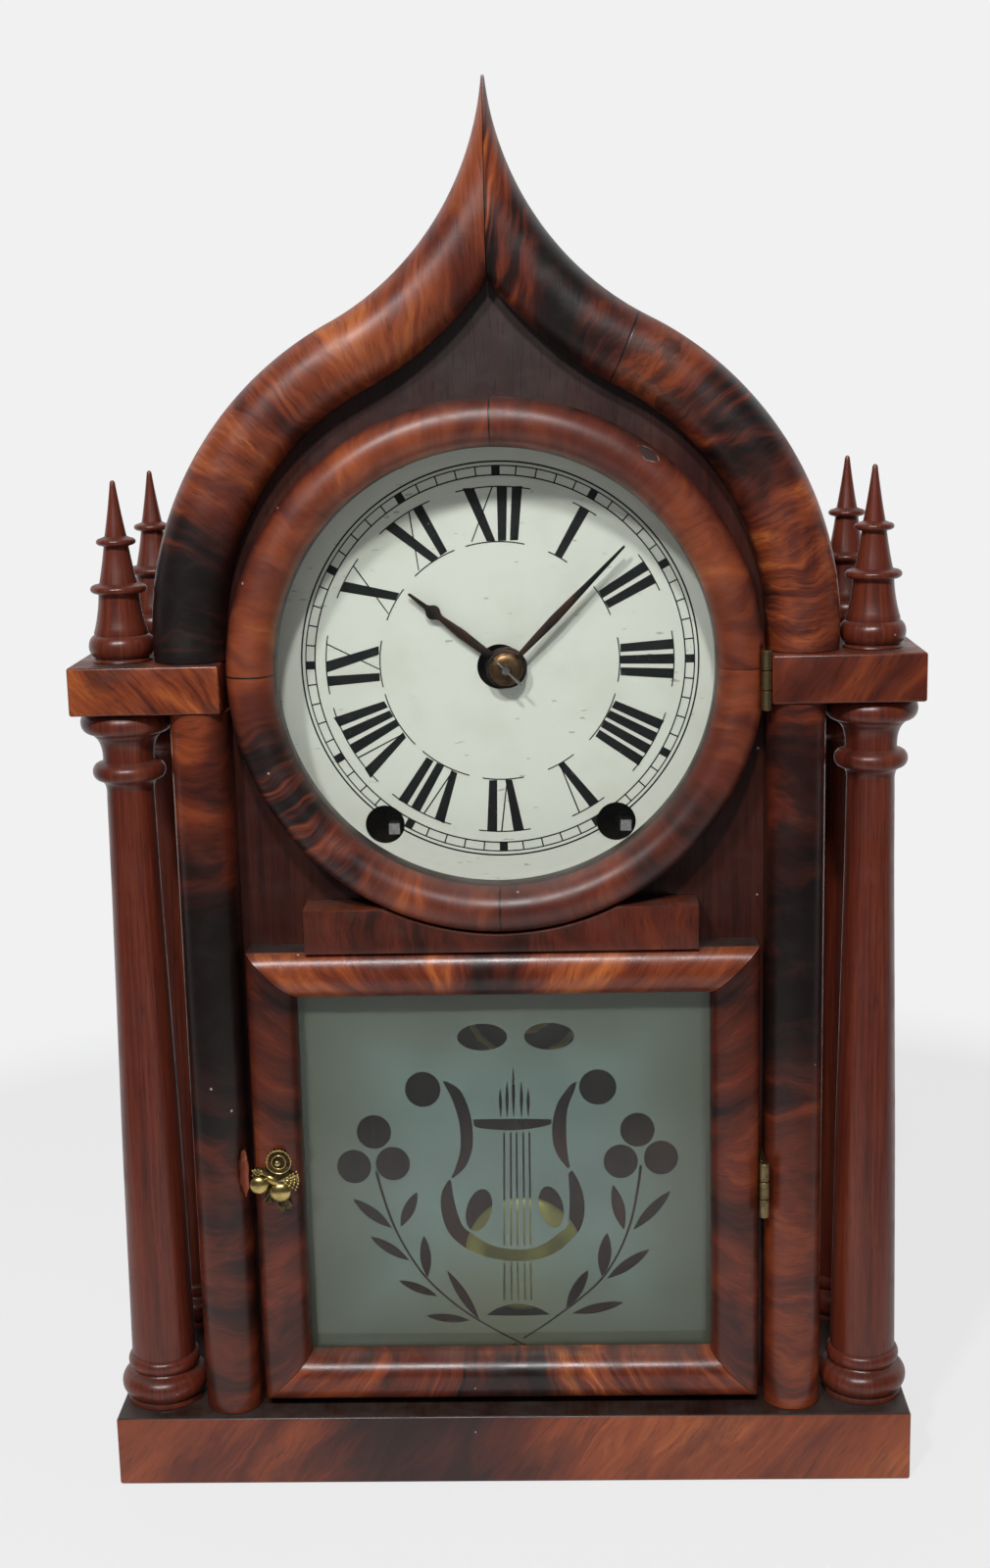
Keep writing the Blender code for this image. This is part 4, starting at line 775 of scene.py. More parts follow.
def slab_mesh(name, outlines, span, bevel=0.0):
    """A plate from front-view outlines, between two depths; inner outlines are holes."""
    curve = bpy.data.curves.new("plate", "CURVE")
    curve.dimensions = "2D"
    curve.fill_mode = "BOTH"
    curve.extrude = (span[1] - span[0]) / 2 - bevel
    curve.bevel_depth = bevel
    curve.bevel_resolution = 1
    curve.offset = -bevel
    for outline in outlines:
        spline = curve.splines.new("POLY")
        spline.points.add(len(outline) - 1)
        for point, (x, z) in zip(spline.points, outline):
            point.co = (x, z, 0.0, 1.0)
        spline.use_cyclic_u = True
    plain = plain_mesh(show("plate", curve))
    bpy.data.curves.remove(curve)
    bm = bmesh.new()
    bm.from_mesh(plain)
    bpy.data.meshes.remove(plain)
    while bm.loops.layers.uv:
        bm.loops.layers.uv.remove(bm.loops.layers.uv[0])
    bm.loops.layers.uv.new(UV_NAME)
    depth = (span[0] + span[1]) / 2
    for vert in bm.verts:
        x, z, toward = vert.co
        vert.co = (x, depth - toward, z)
    bmesh.ops.remove_doubles(bm, verts=bm.verts, dist=MERGE)
    map_flat(bm, bm.faces)
    return finished(bm, name)


def merged(name, meshes):
    """One mesh from several finished ones."""
    bm = bmesh.new()
    for mesh in meshes:
        bm.from_mesh(mesh)
    made = bpy.data.meshes.new(name)
    bm.to_mesh(made)
    bm.free()
    for mesh in meshes:
        bpy.data.meshes.remove(mesh)
    return made


def carved(mesh, cutter, take_finish=False):
    """The mesh less the cutter's shape."""
    holder = show(mesh.name, mesh)
    tool = show("cutter", cutter)
    cut = holder.modifiers.new("cut", "BOOLEAN")
    cut.operation = "DIFFERENCE"
    cut.solver = "EXACT"
    cut.object = tool
    cut.material_mode = "TRANSFER" if take_finish else "INDEX"
    result = plain_mesh(holder)
    bpy.data.objects.remove(tool)
    bpy.data.meshes.remove(cutter)
    return result


def add_piece(name, mesh, body, slot, material, *stands_for):
    """Show a finished mesh, give it its finish, and tie it to the frame."""
    if material is not None:
        mesh.materials.clear()
        mesh.materials.append(material)
    mesh.name = name
    piece = show(name, mesh)
    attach(piece, body)
    if stands_for:
        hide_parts(*stands_for)
    return piece


def second_finish(mesh, first, second, chosen):
    """Two finishes on one piece: chosen(centre in millimetres, facing) picks the second's faces."""
    mesh.materials.clear()
    mesh.materials.append(first)
    mesh.materials.append(second)
    for face in mesh.polygons:
        face.material_index = int(chosen(face.center / MM, face.normal))


def bow(centre, reach, start, end, steps=8):
    """Points on part of an ellipse, by angles in degrees."""
    points = []
    for step in range(steps + 1):
        angle = math.radians(start + (end - start) * step / steps)
        points.append((centre[0] + reach[0] * math.cos(angle), centre[1] + reach[1] * math.sin(angle)))
    return points


def sweep_curve(start, pull, end, steps=8):
    """Points on a simple curve from start to end, drawn toward pull."""
    points = []
    for step in range(steps + 1):
        t = step / steps
        weights = ((1 - t) ** 2, 2 * t * (1 - t), t * t)
        points.append(tuple(
            sum(weight * point[axis] for weight, point in zip(weights, (start, pull, end)))
            for axis in range(2)
        ))
    return points


def smooth_through(points, steps=6):
    """A smooth curve through the points."""
    last = len(points) - 1
    curve = []
    for index in range(last):
        near = [min(max(index + shift, 0), last) for shift in (-1, 0, 1, 2)]
        before, start, end, after = (Vector(points[place]) for place in near)
        for step in range(steps):
            t = step / steps
            value = 2 * start + (end - before) * t
            value += (2 * before - 5 * start + 4 * end - after) * t**2
            value += (3 * start - before - 3 * end + after) * t**3
            curve.append(tuple(value / 2))
    curve.append(tuple(points[-1]))
    return curve


def with_left_half(right):
    """An even outline from its right half, which ends on the middle line."""
    return right + [(-x, z) for x, z in reversed(right[:-1])]


def round_outline(centre, radius, steps):
    return bow(centre, (radius, radius), 0.0, 360.0, steps)[:-1]


# Case

def onion_half(inset, steps=40, stop_x=0.0):
    """The right half of the onion outline from the block up to the tip."""
    radius = SHOULDER_RADIUS - inset
    start = math.asin((ARCH_START - SHOULDER_Z) / radius)
    points = []
    for step in range(steps + 1):
        angle = start + (TANGENT - start) * step / steps
        points.append((radius * math.cos(angle), SHOULDER_Z + radius * math.sin(angle)))
    radius = HOLLOW_RADIUS + inset
    first = TANGENT + math.pi
    last = math.pi + math.acos(min((HOLLOW_RADIUS - stop_x) / radius, 1.0))
    for step in range(1, steps + 1):
        angle = first + (last - first) * step / steps
        x = HOLLOW_RADIUS + radius * math.cos(angle)
        points.append((x, min(HOLLOW_Z + radius * math.sin(angle), ARCH_TIP)))
    return points


def board_outline(half):
    """A board as wide as given below the blocks, narrower between them, and an onion above."""
    right = [(half, CASE_LOW), (half, CASE_HIGH), (BOARD_NECK, CASE_HIGH), (BOARD_NECK, ARCH_START)]
    return with_left_half(right + onion_half(SHELL_OUTSIDE))


def plinth_and_blocks():
    """The veneered base with its dark top, and the block over each pair of columns."""
    low, high = (-PLINTH_X, -PLINTH_Y, 0.0), (PLINTH_X, PLINTH_Y, PLINTH_TOP)
    plinth = box_mesh("plinth", low, high, 1.0)
    second_finish(plinth, PLINTH_WOOD, DARK_TOP_AND_PAINTED_SHADE_WOOD, lambda at, facing: facing.z > 0.7)
    add_piece("base_plinth_veneered", plinth, "case", "mahogany", None, "base_plinth")
    for side, label, wood in ((-1, "left", BLOCK_LEFT_WOOD), (1, "right", BLOCK_RIGHT_WOOD)):
        near, far = sorted((side * BLOCK_INNER, side * BLOCK_OUTER))
        block = box_mesh("block", (near, -BLOCK_Y, BLOCK_LOW), (far, BLOCK_Y, BLOCK_HIGH), 0.9)
        name = f"capital_block_{label}"
        add_piece(name + "_veneered", block, "case", "mahogany", wood, name)


def column_profile():
    """Radius and height from the top down: cap, neck, ring, tapering shaft, ring and base."""
    profile = [(0.0, 294.7), (13.0, 294.7)]
    profile += bow((13.0, 290.5), (3.4, 4.0), 84.0, -84.0, 12)
    profile += [(12.2, 286.2)]
    profile += sweep_curve((11.9, 285.5), (8.9, 283.0), (9.2, 276.2), 8)
    profile += bow((10.4, 272.4), (2.7, 3.2), 88.0, -88.0, 10)
    profile += sweep_curve((10.2, 268.9), (8.5, 268.2), (8.5, 264.6), 5)
    profile += smooth_through([(8.6, 262.0), (9.0, 230.0), (9.6, 200.0), (10.3, 165.0),
                               (11.0, 130.0), (11.6, 85.0), (12.1, 47.0)], 3)
    profile += bow((11.8, 42.6), (1.8, 2.7), 85.0, -85.0, 8)
    profile += [(12.2, 39.3)]
    profile += bow((12.4, 34.0), (4.0, 4.8), 82.0, -78.0, 12)
    profile += [(14.4, 28.6), (14.5, 27.3), (0.0, 27.3)]
    return profile


def finial_profile():
    """Radius and height from the tip down: a spire with two rings on a round foot."""
    profile = [(0.0, 376.2), (0.6, 376.0), (0.95, 375.3)]
    profile += sweep_curve((1.1, 374.0), (2.6, 363.0), (3.9, 356.6), 6)
    profile += bow((5.2, 354.7), (1.8, 1.3), 85.0, -85.0, 8)
    profile += sweep_curve((4.4, 353.0), (5.2, 347.0), (6.7, 340.1), 6)
    profile += bow((7.8, 338.1), (2.2, 1.6), 85.0, -85.0, 8)
    profile += sweep_curve((7.2, 336.1), (7.6, 329.0), (9.6, 322.6), 6)
    profile += bow((8.7, 317.8), (3.0, 4.2), 75.0, -75.0, 10)
    profile += [(10.4, 313.2), (10.6, 312.6), (0.0, 312.6)]
    return profile


def columns_and_finials():
    """A turned column at each corner, and a finial on the block above it."""
    turnings = (("column", column_profile(), 64), ("finial", finial_profile(), 48))
    for side, x in (("left", -COLUMN_X), ("right", COLUMN_X)):
        for depth, y in (("front", -COLUMN_Y), ("rear", COLUMN_Y)):
            for kind, profile, steps in turnings:
                turning = turned_mesh(kind, profile, steps, (x, y, 0.0))
                name = f"{kind}_{depth}_{side}"
                add_piece(name + "_turned", turning, "case", "mahogany", TURNED_WOOD, name)


def pilasters():
    """Half-round veneered strips beside the door; the left one is chipped by the latch."""
    half, steps = PILASTER_RADIUS, 40
    section = [(-half, MOULDING_BACK)] + bow((0.0, PILASTER_EDGE), (half, half), 180.0, 360.0, 32)
    section.append((half, MOULDING_BACK))
    for side, label, wood in ((-1, "left", PILASTER_LEFT_WOOD), (1, "right", PILASTER_RIGHT_WOOD)):
        rows = []
        for step in range(steps + 1):
            z = CASE_LOW + (CASE_HIGH - CASE_LOW) * step / steps
            rows.append([(side * PILASTER_X + x, y, z) for x, y in section])
        strip = run_mesh("strip", rows)
        strip.materials.append(wood)
        if side < 0:
            strip = carved(strip, box_mesh("tongue_room", *PILASTER_TONGUE_ROOM, 0.1))
            strip = carved(strip, chip_cutter(), take_finish=True)
        name = f"pilaster_{label}"
        add_piece(name + "_veneered", strip, "case", "mahogany", None, name)


def chip_cutter():
    """A splintered lens that takes a sliver off the left strip's inner edge."""
    middle, reach, lean = (-95.8, -47.0, 120.6), (2.9, 3.2, 10.8), -0.9
    bm = new_bmesh()
    bmesh.ops.create_icosphere(bm, subdivisions=4, radius=1.0)
    for vert in bm.verts:
        x, y, z = vert.co
        ragged = 1.0 + 0.1 * math.sin(9.0 * z + 4.0 * x) + 0.06 * math.sin(23.0 * z)
        across = middle[0] + lean * z + reach[0] * x * ragged
        vert.co = (across, middle[1] + reach[1] * y * ragged, middle[2] + reach[2] * z)
    cutter = finished(bm, "chip", 60.0)
    cutter.materials.append(BARE_WOOD)
    return cutter


def arch_mouldings():
    """Two rounded halves that meet in a mitre at the tip."""
    steps = 24
    section = [(0.0, MOULDING_BACK)]
    for step in range(steps + 1):
        angle = math.pi * step / steps
        inset = ARCH_WIDTH / 2 * (1 - math.cos(angle))
        section.append((inset, ARCH_EDGE + (MOULDING_CREST - ARCH_EDGE) * math.sin(angle)))
    section.append((ARCH_WIDTH, MOULDING_BACK))
    lines = [onion_half(inset, 60, MITRE) for inset, y in section]
    depths = [y for inset, y in section]
    for side, label, wood in ((-1, "left", ARCH_LEFT_WOOD), (1, "right", ARCH_RIGHT_WOOD)):
        rows = []
        for points in zip(*lines):
            rows.append([(side * x, y, z) for (x, z), y in zip(points, depths)])
        name = f"arch_moulding_{label}"
        add_piece(name + "_veneered", run_mesh("half", rows), "case", "mahogany", wood, name)


def boards():
    """The pierced front board, the backboard, the bent roof and the side panels."""
    opening = round_outline((0.0, OPENING_Z), OPENING_RADIUS, 96)
    window = [(-WINDOW_HALF, WINDOW_LOW), (WINDOW_HALF, WINDOW_LOW),
              (WINDOW_HALF, WINDOW_HIGH), (-WINDOW_HALF, WINDOW_HIGH)]
    front = slab_mesh("front", [board_outline(BOARD_HALF), opening, window], (BOARD_FRONT, BOARD_BACK))
    add_piece("front_board_stained", front, "case", "dark_wood", FRONT_WOOD, "front_board")
    back = slab_mesh("back", [board_outline(PANEL_OUTER)], (BACK_FRONT, BACK_BACK), 0.4)
    add_piece("backboard_stained", back, "case", "dark_wood", BACK_WOOD, "backboard")
    outer, inner = (with_left_half(onion_half(inset)) for inset in (SHELL_OUTSIDE, SHELL_INSIDE))
    roof = slab_mesh("roof", [outer + inner[::-1]], (SHELL_FRONT, SHELL_BACK))
    add_piece("roof_shell_bent", roof, "case", "mahogany", ROOF_WOOD, "roof_shell")
    for side, label in ((-1, "left"), (1, "right")):
        near, far = sorted((side * PANEL_INNER, side * PANEL_OUTER))
        panel = box_mesh("panel", (near, SHELL_FRONT, CASE_LOW), (far, SHELL_BACK, CASE_HIGH), 0.4)
        name = f"side_panel_{label}"
        add_piece(name + "_finished", panel, "case", "mahogany", SIDE_WOOD, name)


# Door

def bezel_and_bridge():
    """A round wooden frame let out for the upper hinge, with painted shade on its inner lip, and the straight
    piece below it.
    """
    middle, half = (RING_OUTER + RING_INNER) / 2, (RING_OUTER - RING_INNER) / 2
    section = [(RING_OUTER, MOULDING_BACK)]
    section += bow((middle, RING_OUTER_EDGE), (half, RING_OUTER_EDGE - RING_CREST), 0.0, -90.0, 14)
    section += bow((middle, RING_INNER_EDGE), (half, RING_INNER_EDGE - RING_CREST), -90.0, -180.0, 14)[1:]
    section += [(RING_INNER, REBATE_FRONT), (RING_REBATE, REBATE_FRONT), (RING_REBATE, MOULDING_BACK)]
    ring = turned_mesh("ring", section, 192, (0.0, 0.0, RING_Z), upright=False, closed=True)
    # The faces of the inner lip take the dark wood as painted shade.
    lip = RING_INNER + 0.6
    second_finish(ring, RING_WOOD, DARK_TOP_AND_PAINTED_SHADE_WOOD, lambda at, facing: math.hypot(at.x, at.z - RING_Z) < lip)
    low, high = UPPER_HINGE_Z - 8.6, UPPER_HINGE_Z + 8.6
    leaf_room = box_mesh("leaf_room", (HINGE_X - 0.6, HINGE_Y, low), (HINGE_X + 3.0, -31.0, high), 0.1)
    ring = carved(ring, leaf_room)
    low, high = UPPER_HINGE_Z - 11.1, UPPER_HINGE_Z + 11.1
    profile = [(0.0, low), (2.4, low), (2.4, high), (0.0, high)]
    ring = carved(ring, turned_mesh("knuckle_room", profile, 32, (HINGE_X, HINGE_Y, 0.0)))
    add_piece("bezel_ring_veneered", ring, "door", "mahogany", None, "bezel_ring")
    reach = RING_OUTER + 0.4
    half_gap = math.sqrt(reach**2 - (RING_Z - BRIDGE_TOP) ** 2)
    lean = math.degrees(math.asin(half_gap / reach))
    outline = [(-BRIDGE_HALF, BRIDGE_LOW), (BRIDGE_HALF, BRIDGE_LOW), (BRIDGE_HALF, BRIDGE_TOP)]
    outline += bow((0.0, RING_Z), (reach, reach), -90.0 + lean, -90.0 - lean, 24)
    outline.append((-BRIDGE_HALF, BRIDGE_TOP))
    bridge = slab_mesh("bridge", [outline], (BRIDGE_FRONT, MOULDING_BACK), 0.5)
    add_piece("door_bridge_veneered", bridge, "door", "mahogany", BRIDGE_WOOD, "door_bridge")


def door_rails():
    """Four mitred half-round rails, fuller toward the glass, with painted shade on their outer faces."""
    half, steps = RAIL_HALF, 24
    section = [(0.0, MOULDING_BACK)]
    section += bow((half, RAIL_OUTER_EDGE), (half, RAIL_OUTER_EDGE - RAIL_CREST), 180.0, 270.0, 12)
    section += bow((half, RAIL_INNER_EDGE), (half, RAIL_INNER_EDGE - RAIL_CREST), 270.0, 360.0, 12)[1:]
    section += [(2 * half, REBATE_FRONT), (RAIL_REBATE, REBATE_FRONT), (RAIL_REBATE, MOULDING_BACK)]
    middle_z = (DOOR_LOW + DOOR_HIGH) / 2
    half_height = (DOOR_HIGH - DOOR_LOW) / 2
    kinds = (
        ("door_rail_top", RAIL_TOP_WOOD, True, lambda run, out: (run, middle_z + out)),
        ("door_rail_bottom", RAIL_BOTTOM_WOOD, True, lambda run, out: (run, middle_z - out)),
        ("door_stile_left", STILE_WOOD, False, lambda run, out: (-out, middle_z + run)),
        ("door_stile_right", STILE_WOOD, False, lambda run, out: (out, middle_z + run)),
    )
    for name, wood, lies, place in kinds:
        reach, edge = (DOOR_HALF, half_height) if lies else (half_height, DOOR_HALF)
        rows = []
        for step in range(steps + 1):
            share = 2 * step / steps - 1
            row = []
            for inward, y in section:
                x, z = place(share * (reach - inward - MITRE), edge - inward)
                row.append((x, y, z))
            rows.append(row)
        rail = run_mesh("rail", rows)

        # The outer faces take the dark wood as painted shade.
        def outer_side_in_painted_shade(at, facing):
            out = abs(at.z - middle_z) if lies else abs(at.x)
            return edge - out < 0.02

        second_finish(rail, wood, DARK_TOP_AND_PAINTED_SHADE_WOOD, outer_side_in_painted_shade)
        if name == "door_stile_left":
            rail = carved(rail, box_mesh("tongue_room", *STILE_TONGUE_ROOM, 0.1))
            rail = carved(rail, rod_mesh("bore", 1.9, -52.0, -30.0, 24, LATCH_X, LATCH_Z))
        add_piece(name + "_veneered", rail, "door", "mahogany", None, name)


def hinges():
    """Rolled knuckles on a pin, with thin leaves let into the case and the door."""
    third, gap = HINGE_LENGTH / 3, 0.15
    neck_back = LEAF_FRONT + 0.5

    def barrel(low, high):
        profile = [(0.0, low), (1.5, low), (1.8, low + 0.3), (1.8, high - 0.3), (1.5, high), (0.0, high)]
        return turned_mesh("barrel", profile, 24, (HINGE_X, HINGE_Y, 0.0))

    def plate(x, front, back, low, high):
        return box_mesh("plate", (x, front, low), (x + 0.6, back, high), 0.12)

    for label, middle, case_x, door_x, half in (
        ("upper", UPPER_HINGE_Z, HINGE_X + 1.0, HINGE_X - 0.3, 8.0),
        ("lower", LOWER_HINGE_Z, HINGE_X, HINGE_X - 1.1, HINGE_LENGTH / 2),
    ):
        low, high = middle - HINGE_LENGTH / 2, middle + HINGE_LENGTH / 2
        first, second = low + third, high - third
        leaf_low, leaf_high = middle - half, middle + half
        case_parts = [
            barrel(low, first - gap),
            barrel(second + gap, high),
            plate(case_x, LEAF_FRONT, LEAF_BACK, leaf_low, leaf_high),
            plate(case_x, HINGE_Y + 1.0, neck_back, leaf_low, first - 2 * gap),
            plate(case_x, HINGE_Y + 1.0, neck_back, second + 2 * gap, leaf_high),
        ]
        door_parts = [
            barrel(first + gap, second - gap),
            plate(door_x, LEAF_FRONT, LEAF_BACK, leaf_low, leaf_high),
            plate(door_x, HINGE_Y + 1.2, neck_back, first + 3 * gap, second - 3 * gap),
        ]
        for body, parts in (("case", case_parts), ("door", door_parts)):
            name = f"hinge_{label}_{body}_leaf"
            add_piece(name + "_rolled", merged("leaf", parts), body, "brass", HINGE_BRASS, name)


def ellipsoid(centre, reach, detail=3, turn=0.0):
    """A closed round form; turn leans it in the front view, in degrees."""
    bm = new_bmesh()
    bmesh.ops.create_icosphere(bm, subdivisions=detail, radius=1.0)
    bmesh.ops.scale(bm, vec=reach, verts=bm.verts)
    bmesh.ops.rotate(bm, matrix=Matrix.Rotation(math.radians(-turn), 3, "Y"), verts=bm.verts)
    bmesh.ops.translate(bm, vec=centre, verts=bm.verts)
    return finished(bm, "round")


def latch():
    """A cast vine leaf, dark with age, with polished beads, a ringed boss and two grapes."""
    shaft = rod_mesh("shaft", 1.5, LATCH_BACK - 0.5, -35.8, 24, LATCH_X, LATCH_Z)
    leaf = merged("leaf", [latch_leaf(), shaft])
    add_piece("latch_vine_leaf", leaf, "latch", "brass", LEAF_BRASS, "latch_knob")
    rounds = [
        ellipsoid((LATCH_X - 6.4, LATCH_FRONT, LATCH_Z - 2.5), (3.5, 1.9, 3.5), 4),
        ellipsoid((LATCH_X + 1.4, LATCH_FRONT, LATCH_Z - 5.3), (4.0, 1.9, 3.7), 4),
        ellipsoid((LATCH_X - 1.4, LATCH_FRONT + 0.1, LATCH_Z - 0.6), (2.9, 1.3, 1.6), 4, -35.0),
    ]
    grapes = merged("grapes", rounds + latch_beads())
    add_piece("latch_grapes", grapes, "latch", "brass", LATCH_BRASS, "latch_knob")


def latch_leaf():
    """A shallow leaf with a scalloped edge: each lobe is a direction, a length and a spread in degrees."""
    centre_x, centre_z = LATCH_X + 0.6, LATCH_Z - 1.0
    lobes = ((86.0, 12.0, 26.0), (160.0, 9.8, 20.0), (3.0, 7.6, 30.0), (-78.0, 12.4, 20.0),
             (-116.0, 9.8, 16.0))
    least, scallops = 5.4, 34
    steps, rings = 4 * scallops, 12

    def leaf_radius(angle):
        reach = least
        for direction, length, spread in lobes:
            away = (math.degrees(angle) - direction + 180.0) % 360.0 - 180.0
            reach = max(reach, least + (length - least) * math.exp(-((away / spread) ** 4)))
        return reach + 0.28 * math.cos(scallops * angle)

    rows = []
    for step in range(steps):
        angle = math.tau * step / steps
        reach = leaf_radius(angle)
        row = []
        for ring in range(rings + 1):
            share = ring / rings
            fold = 0.22 * math.cos(scallops * angle) * share
            x, z = centre_x + share * reach * math.cos(angle), centre_z + share * reach * math.sin(angle)
            row.append((x, LATCH_BACK - 1.0 - 1.0 * (1 - share**2) - fold, z))
        edge = row[-1]
        row.append((edge[0], LATCH_BACK - 0.3, edge[2]))
        row.append((centre_x, LATCH_BACK - 0.1, centre_z))
        rows.append(row)
    bm = new_bmesh()
    add_grid(bm, rows, list(range(steps + 1)), list(range(rings + 3)), close_rows=True)
    return finished(bm, "leaf", 50.0)


def latch_beads():
    """The boss with its rings, a beaded rim above it, a fan of beads at the right, a feather at the left."""
    boss_x, boss_z = LATCH_X + 1.2, LATCH_Z + 6.3
    parts = [ellipsoid((boss_x - 0.4, LATCH_FRONT - 0.5, boss_z - 0.2), (1.2, 0.9, 1.2))]
    for radius, tube in ((2.6, 0.28), (4.4, 0.26)):
        ring = round_outline((radius, LATCH_FRONT), tube, 12)
        parts.append(turned_mesh("ring", ring, 48, (boss_x, 0.0, boss_z), upright=False, closed=True))
    rim, rim_count = 4.6, 12
    for step in range(rim_count):
        angle = math.radians(5.0 + 170.0 * step / (rim_count - 1))
        place = (boss_x + rim * math.cos(angle), LATCH_FRONT, boss_z + rim * math.sin(angle))
        parts.append(ellipsoid(place, (0.42, 0.45, 0.42), 2))
    fan_x, fan_z = LATCH_X + 0.9, LATCH_Z - 0.6
    for row, (radius, count) in enumerate(((3.2, 3), (4.6, 5), (5.9, 6), (7.2, 7))):
        long_way = 0.9 if row == 0 else 0.55
        for step in range(count):
            angle = math.radians(-38.0 + 68.0 * (step + 0.5) / count)
            x, z = fan_x + radius * math.cos(angle), fan_z + radius * math.sin(angle)
            place = (x, LATCH_FRONT + 0.12 * row, z)
            parts.append(ellipsoid(place, (long_way, 0.5, 0.45), 2, math.degrees(angle)))
    for step in range(4):
        lift = 2.4 + 0.5 * step - 0.2 * step * step
        place = (LATCH_X - 7.9 + 1.1 * step, LATCH_FRONT, LATCH_Z + lift)
        parts.append(ellipsoid(place, (1.7, 0.5, 0.4), 2, -48.0))
    return parts


# Glass: the tablet's clear pattern is a lyre between two leafy sprigs, in millimetres

TOP_OVALS = ((-8.1, 170.2, 9.2, 5.2), (16.6, 170.2, 9.2, 5.2))
ARM_ENDS = ((-30.6, 150.2, 6.6, 6.9), (34.2, 150.3, 6.9, 6.9))
LYRE_LEFT_ARM = (
    ((-23.2, 153.4), (-19.8, 146.0), (-17.4, 136.9), (-17.2, 127.2), (-19.1, 119.7), (-21.0, 115.4)),
    ((-21.6, 153.2), (-16.6, 149.5), (-13.4, 141.1), (-12.4, 132.5), (-13.0, 125.8), (-15.6, 119.4),
     (-20.2, 115.0)),
)
LYRE_RIGHT_ARM = (
    ((26.6, 152.7), (25.5, 148.9), (22.9, 141.7), (22.3, 133.2), (22.7, 124.5), (23.5, 119.0)),
    ((24.4, 151.6), (19.6, 144.9), (17.4, 137.5), (17.2, 130.0), (18.9, 123.7), (22.6, 118.4)),
)
LYRE_BOWL = (
    ((-21.8, 114.6), (-24.5, 110.0), (-25.2, 104.0), (-24.1, 97.4), (-21.9, 92.4), (-18.6, 88.9),
     (-14.4, 85.8), (-7.3, 83.0), (2.0, 81.5), (10.7, 82.2), (17.4, 84.8), (22.1, 88.5), (26.8, 94.1),
     (28.6, 100.6), (28.4, 107.2), (26.5, 113.7), (24.2, 117.8)),
    ((-21.0, 113.9), (-20.3, 107.7), (-19.1, 101.7), (-17.0, 95.7), (-13.2, 92.6), (-8.7, 89.2),
     (-3.1, 87.1), (2.3, 86.3), (8.2, 86.6), (14.4, 89.2), (19.1, 92.9), (22.2, 95.9), (23.0, 101.8),
     (23.1, 109.4), (22.8, 116.4)),
)
LYRE_BAR = (
    ((-12.2, 138.2), (2.1, 138.3), (16.9, 138.0)),
    ((-11.9, 135.7), (-9.1, 134.6), (2.0, 133.7), (12.2, 134.7), (16.8, 136.0)),
)
LYRE_FOOT = (
    ((-9.0, 59.8), (-4.6, 62.6), (2.6, 64.3), (9.8, 62.8), (14.9, 59.9)),
    ((-8.6, 59.5), (2.6, 59.3), (14.5, 59.6)),
)
LYRE_STRINGS = ((-0.8, -1.7, -2.2), (1.7, 0.9, 0.6), (3.8, 3.3, 3.1), (6.3, 5.9, 5.7), (8.6, 8.2, 8.1))
LYRE_SPIKES = (
    (-1.9, 150.5, -1.9), (0.7, 153.2, 0.5), (3.1, 158.6, 2.9), (6.0, 152.8, 5.8), (8.5, 150.4, 8.3),
)
LYRE_PETALS = ((-10.9, 102.2, 4.7, 8.7, 15.0), (16.2, 103.2, 4.5, 8.4, -12.0))
STEM_WIDTHS = (1.1, 1.0, 0.9, 0.8, 0.8, 0.75, 0.7, 0.65, 0.5)
STEMS = (
    ((-49.0, 118.4), (-46.6, 108.0), (-42.9, 96.0), (-37.1, 83.8), (-30.2, 73.6), (-20.1, 63.7),
     (-10.0, 56.3), (3.3, 48.4), (8.5, 46.1)),
    ((49.9, 119.4), (48.5, 109.1), (45.7, 96.1), (41.0, 84.1), (34.7, 74.0), (26.4, 66.0), (15.9, 57.7),
     (4.8, 50.0)),
)
BERRIES = ((-49.3, 133.7), (-57.2, 120.1), (-42.6, 121.1), (48.7, 133.4), (42.4, 121.0), (57.4, 122.3))
LEAVES = (
    ((-58.1, 107.3), (-43.3, 94.9), 4.4), ((-33.9, 109.8), (-40.8, 95.1), 4.4),
    ((-52.2, 92.2), (-37.1, 81.8), 3.9), ((-31.9, 92.3), (-31.0, 74.3), 4.2),
    ((-42.0, 74.2), (-26.7, 67.3), 3.5), ((-23.6, 78.1), (-11.6, 57.3), 3.6),
    ((-32.1, 59.6), (-14.6, 57.5), 3.5), ((39.4, 111.9), (43.5, 93.0), 4.7),
    ((61.0, 109.2), (46.4, 93.2), 4.2), ((37.0, 92.7), (34.9, 74.0), 5.0),
    ((53.0, 85.9), (36.3, 73.7), 4.2), ((29.8, 77.8), (20.9, 61.6), 4.3),
    ((43.0, 64.4), (22.8, 59.9), 3.9),
)


def oval(x, z, reach_x, reach_z, lean=0.0):
    """An oval outline that leans to the right by an angle in degrees."""
    cos, sin = math.cos(math.radians(lean)), math.sin(math.radians(lean))
    even = bow((0.0, 0.0), (reach_x, reach_z), 0.0, 360.0, 36)[:-1]
    return [(x + side * cos + up * sin, z - side * sin + up * cos) for side, up in even]


def between(one_edge, other_edge):
    """The outline of a band between two smooth edges."""
    return smooth_through(one_edge) + smooth_through(other_edge)[::-1]


def ribbon(points, widths):
    """A band along a smooth line, with a width at each point."""
    line = smooth_through([(*point, width) for point, width in zip(points, widths)], 6)
    left, right = [], []
    for index, (x, z, width) in enumerate(line):
        before = line[max(index - 1, 0)]
        after = line[min(index + 1, len(line) - 1)]
        run = Vector((after[0] - before[0], after[1] - before[1])).normalized()
        left.append((x - run.y * width / 2, z + run.x * width / 2))
        right.append((x + run.y * width / 2, z - run.x * width / 2))
    return left + right[::-1]


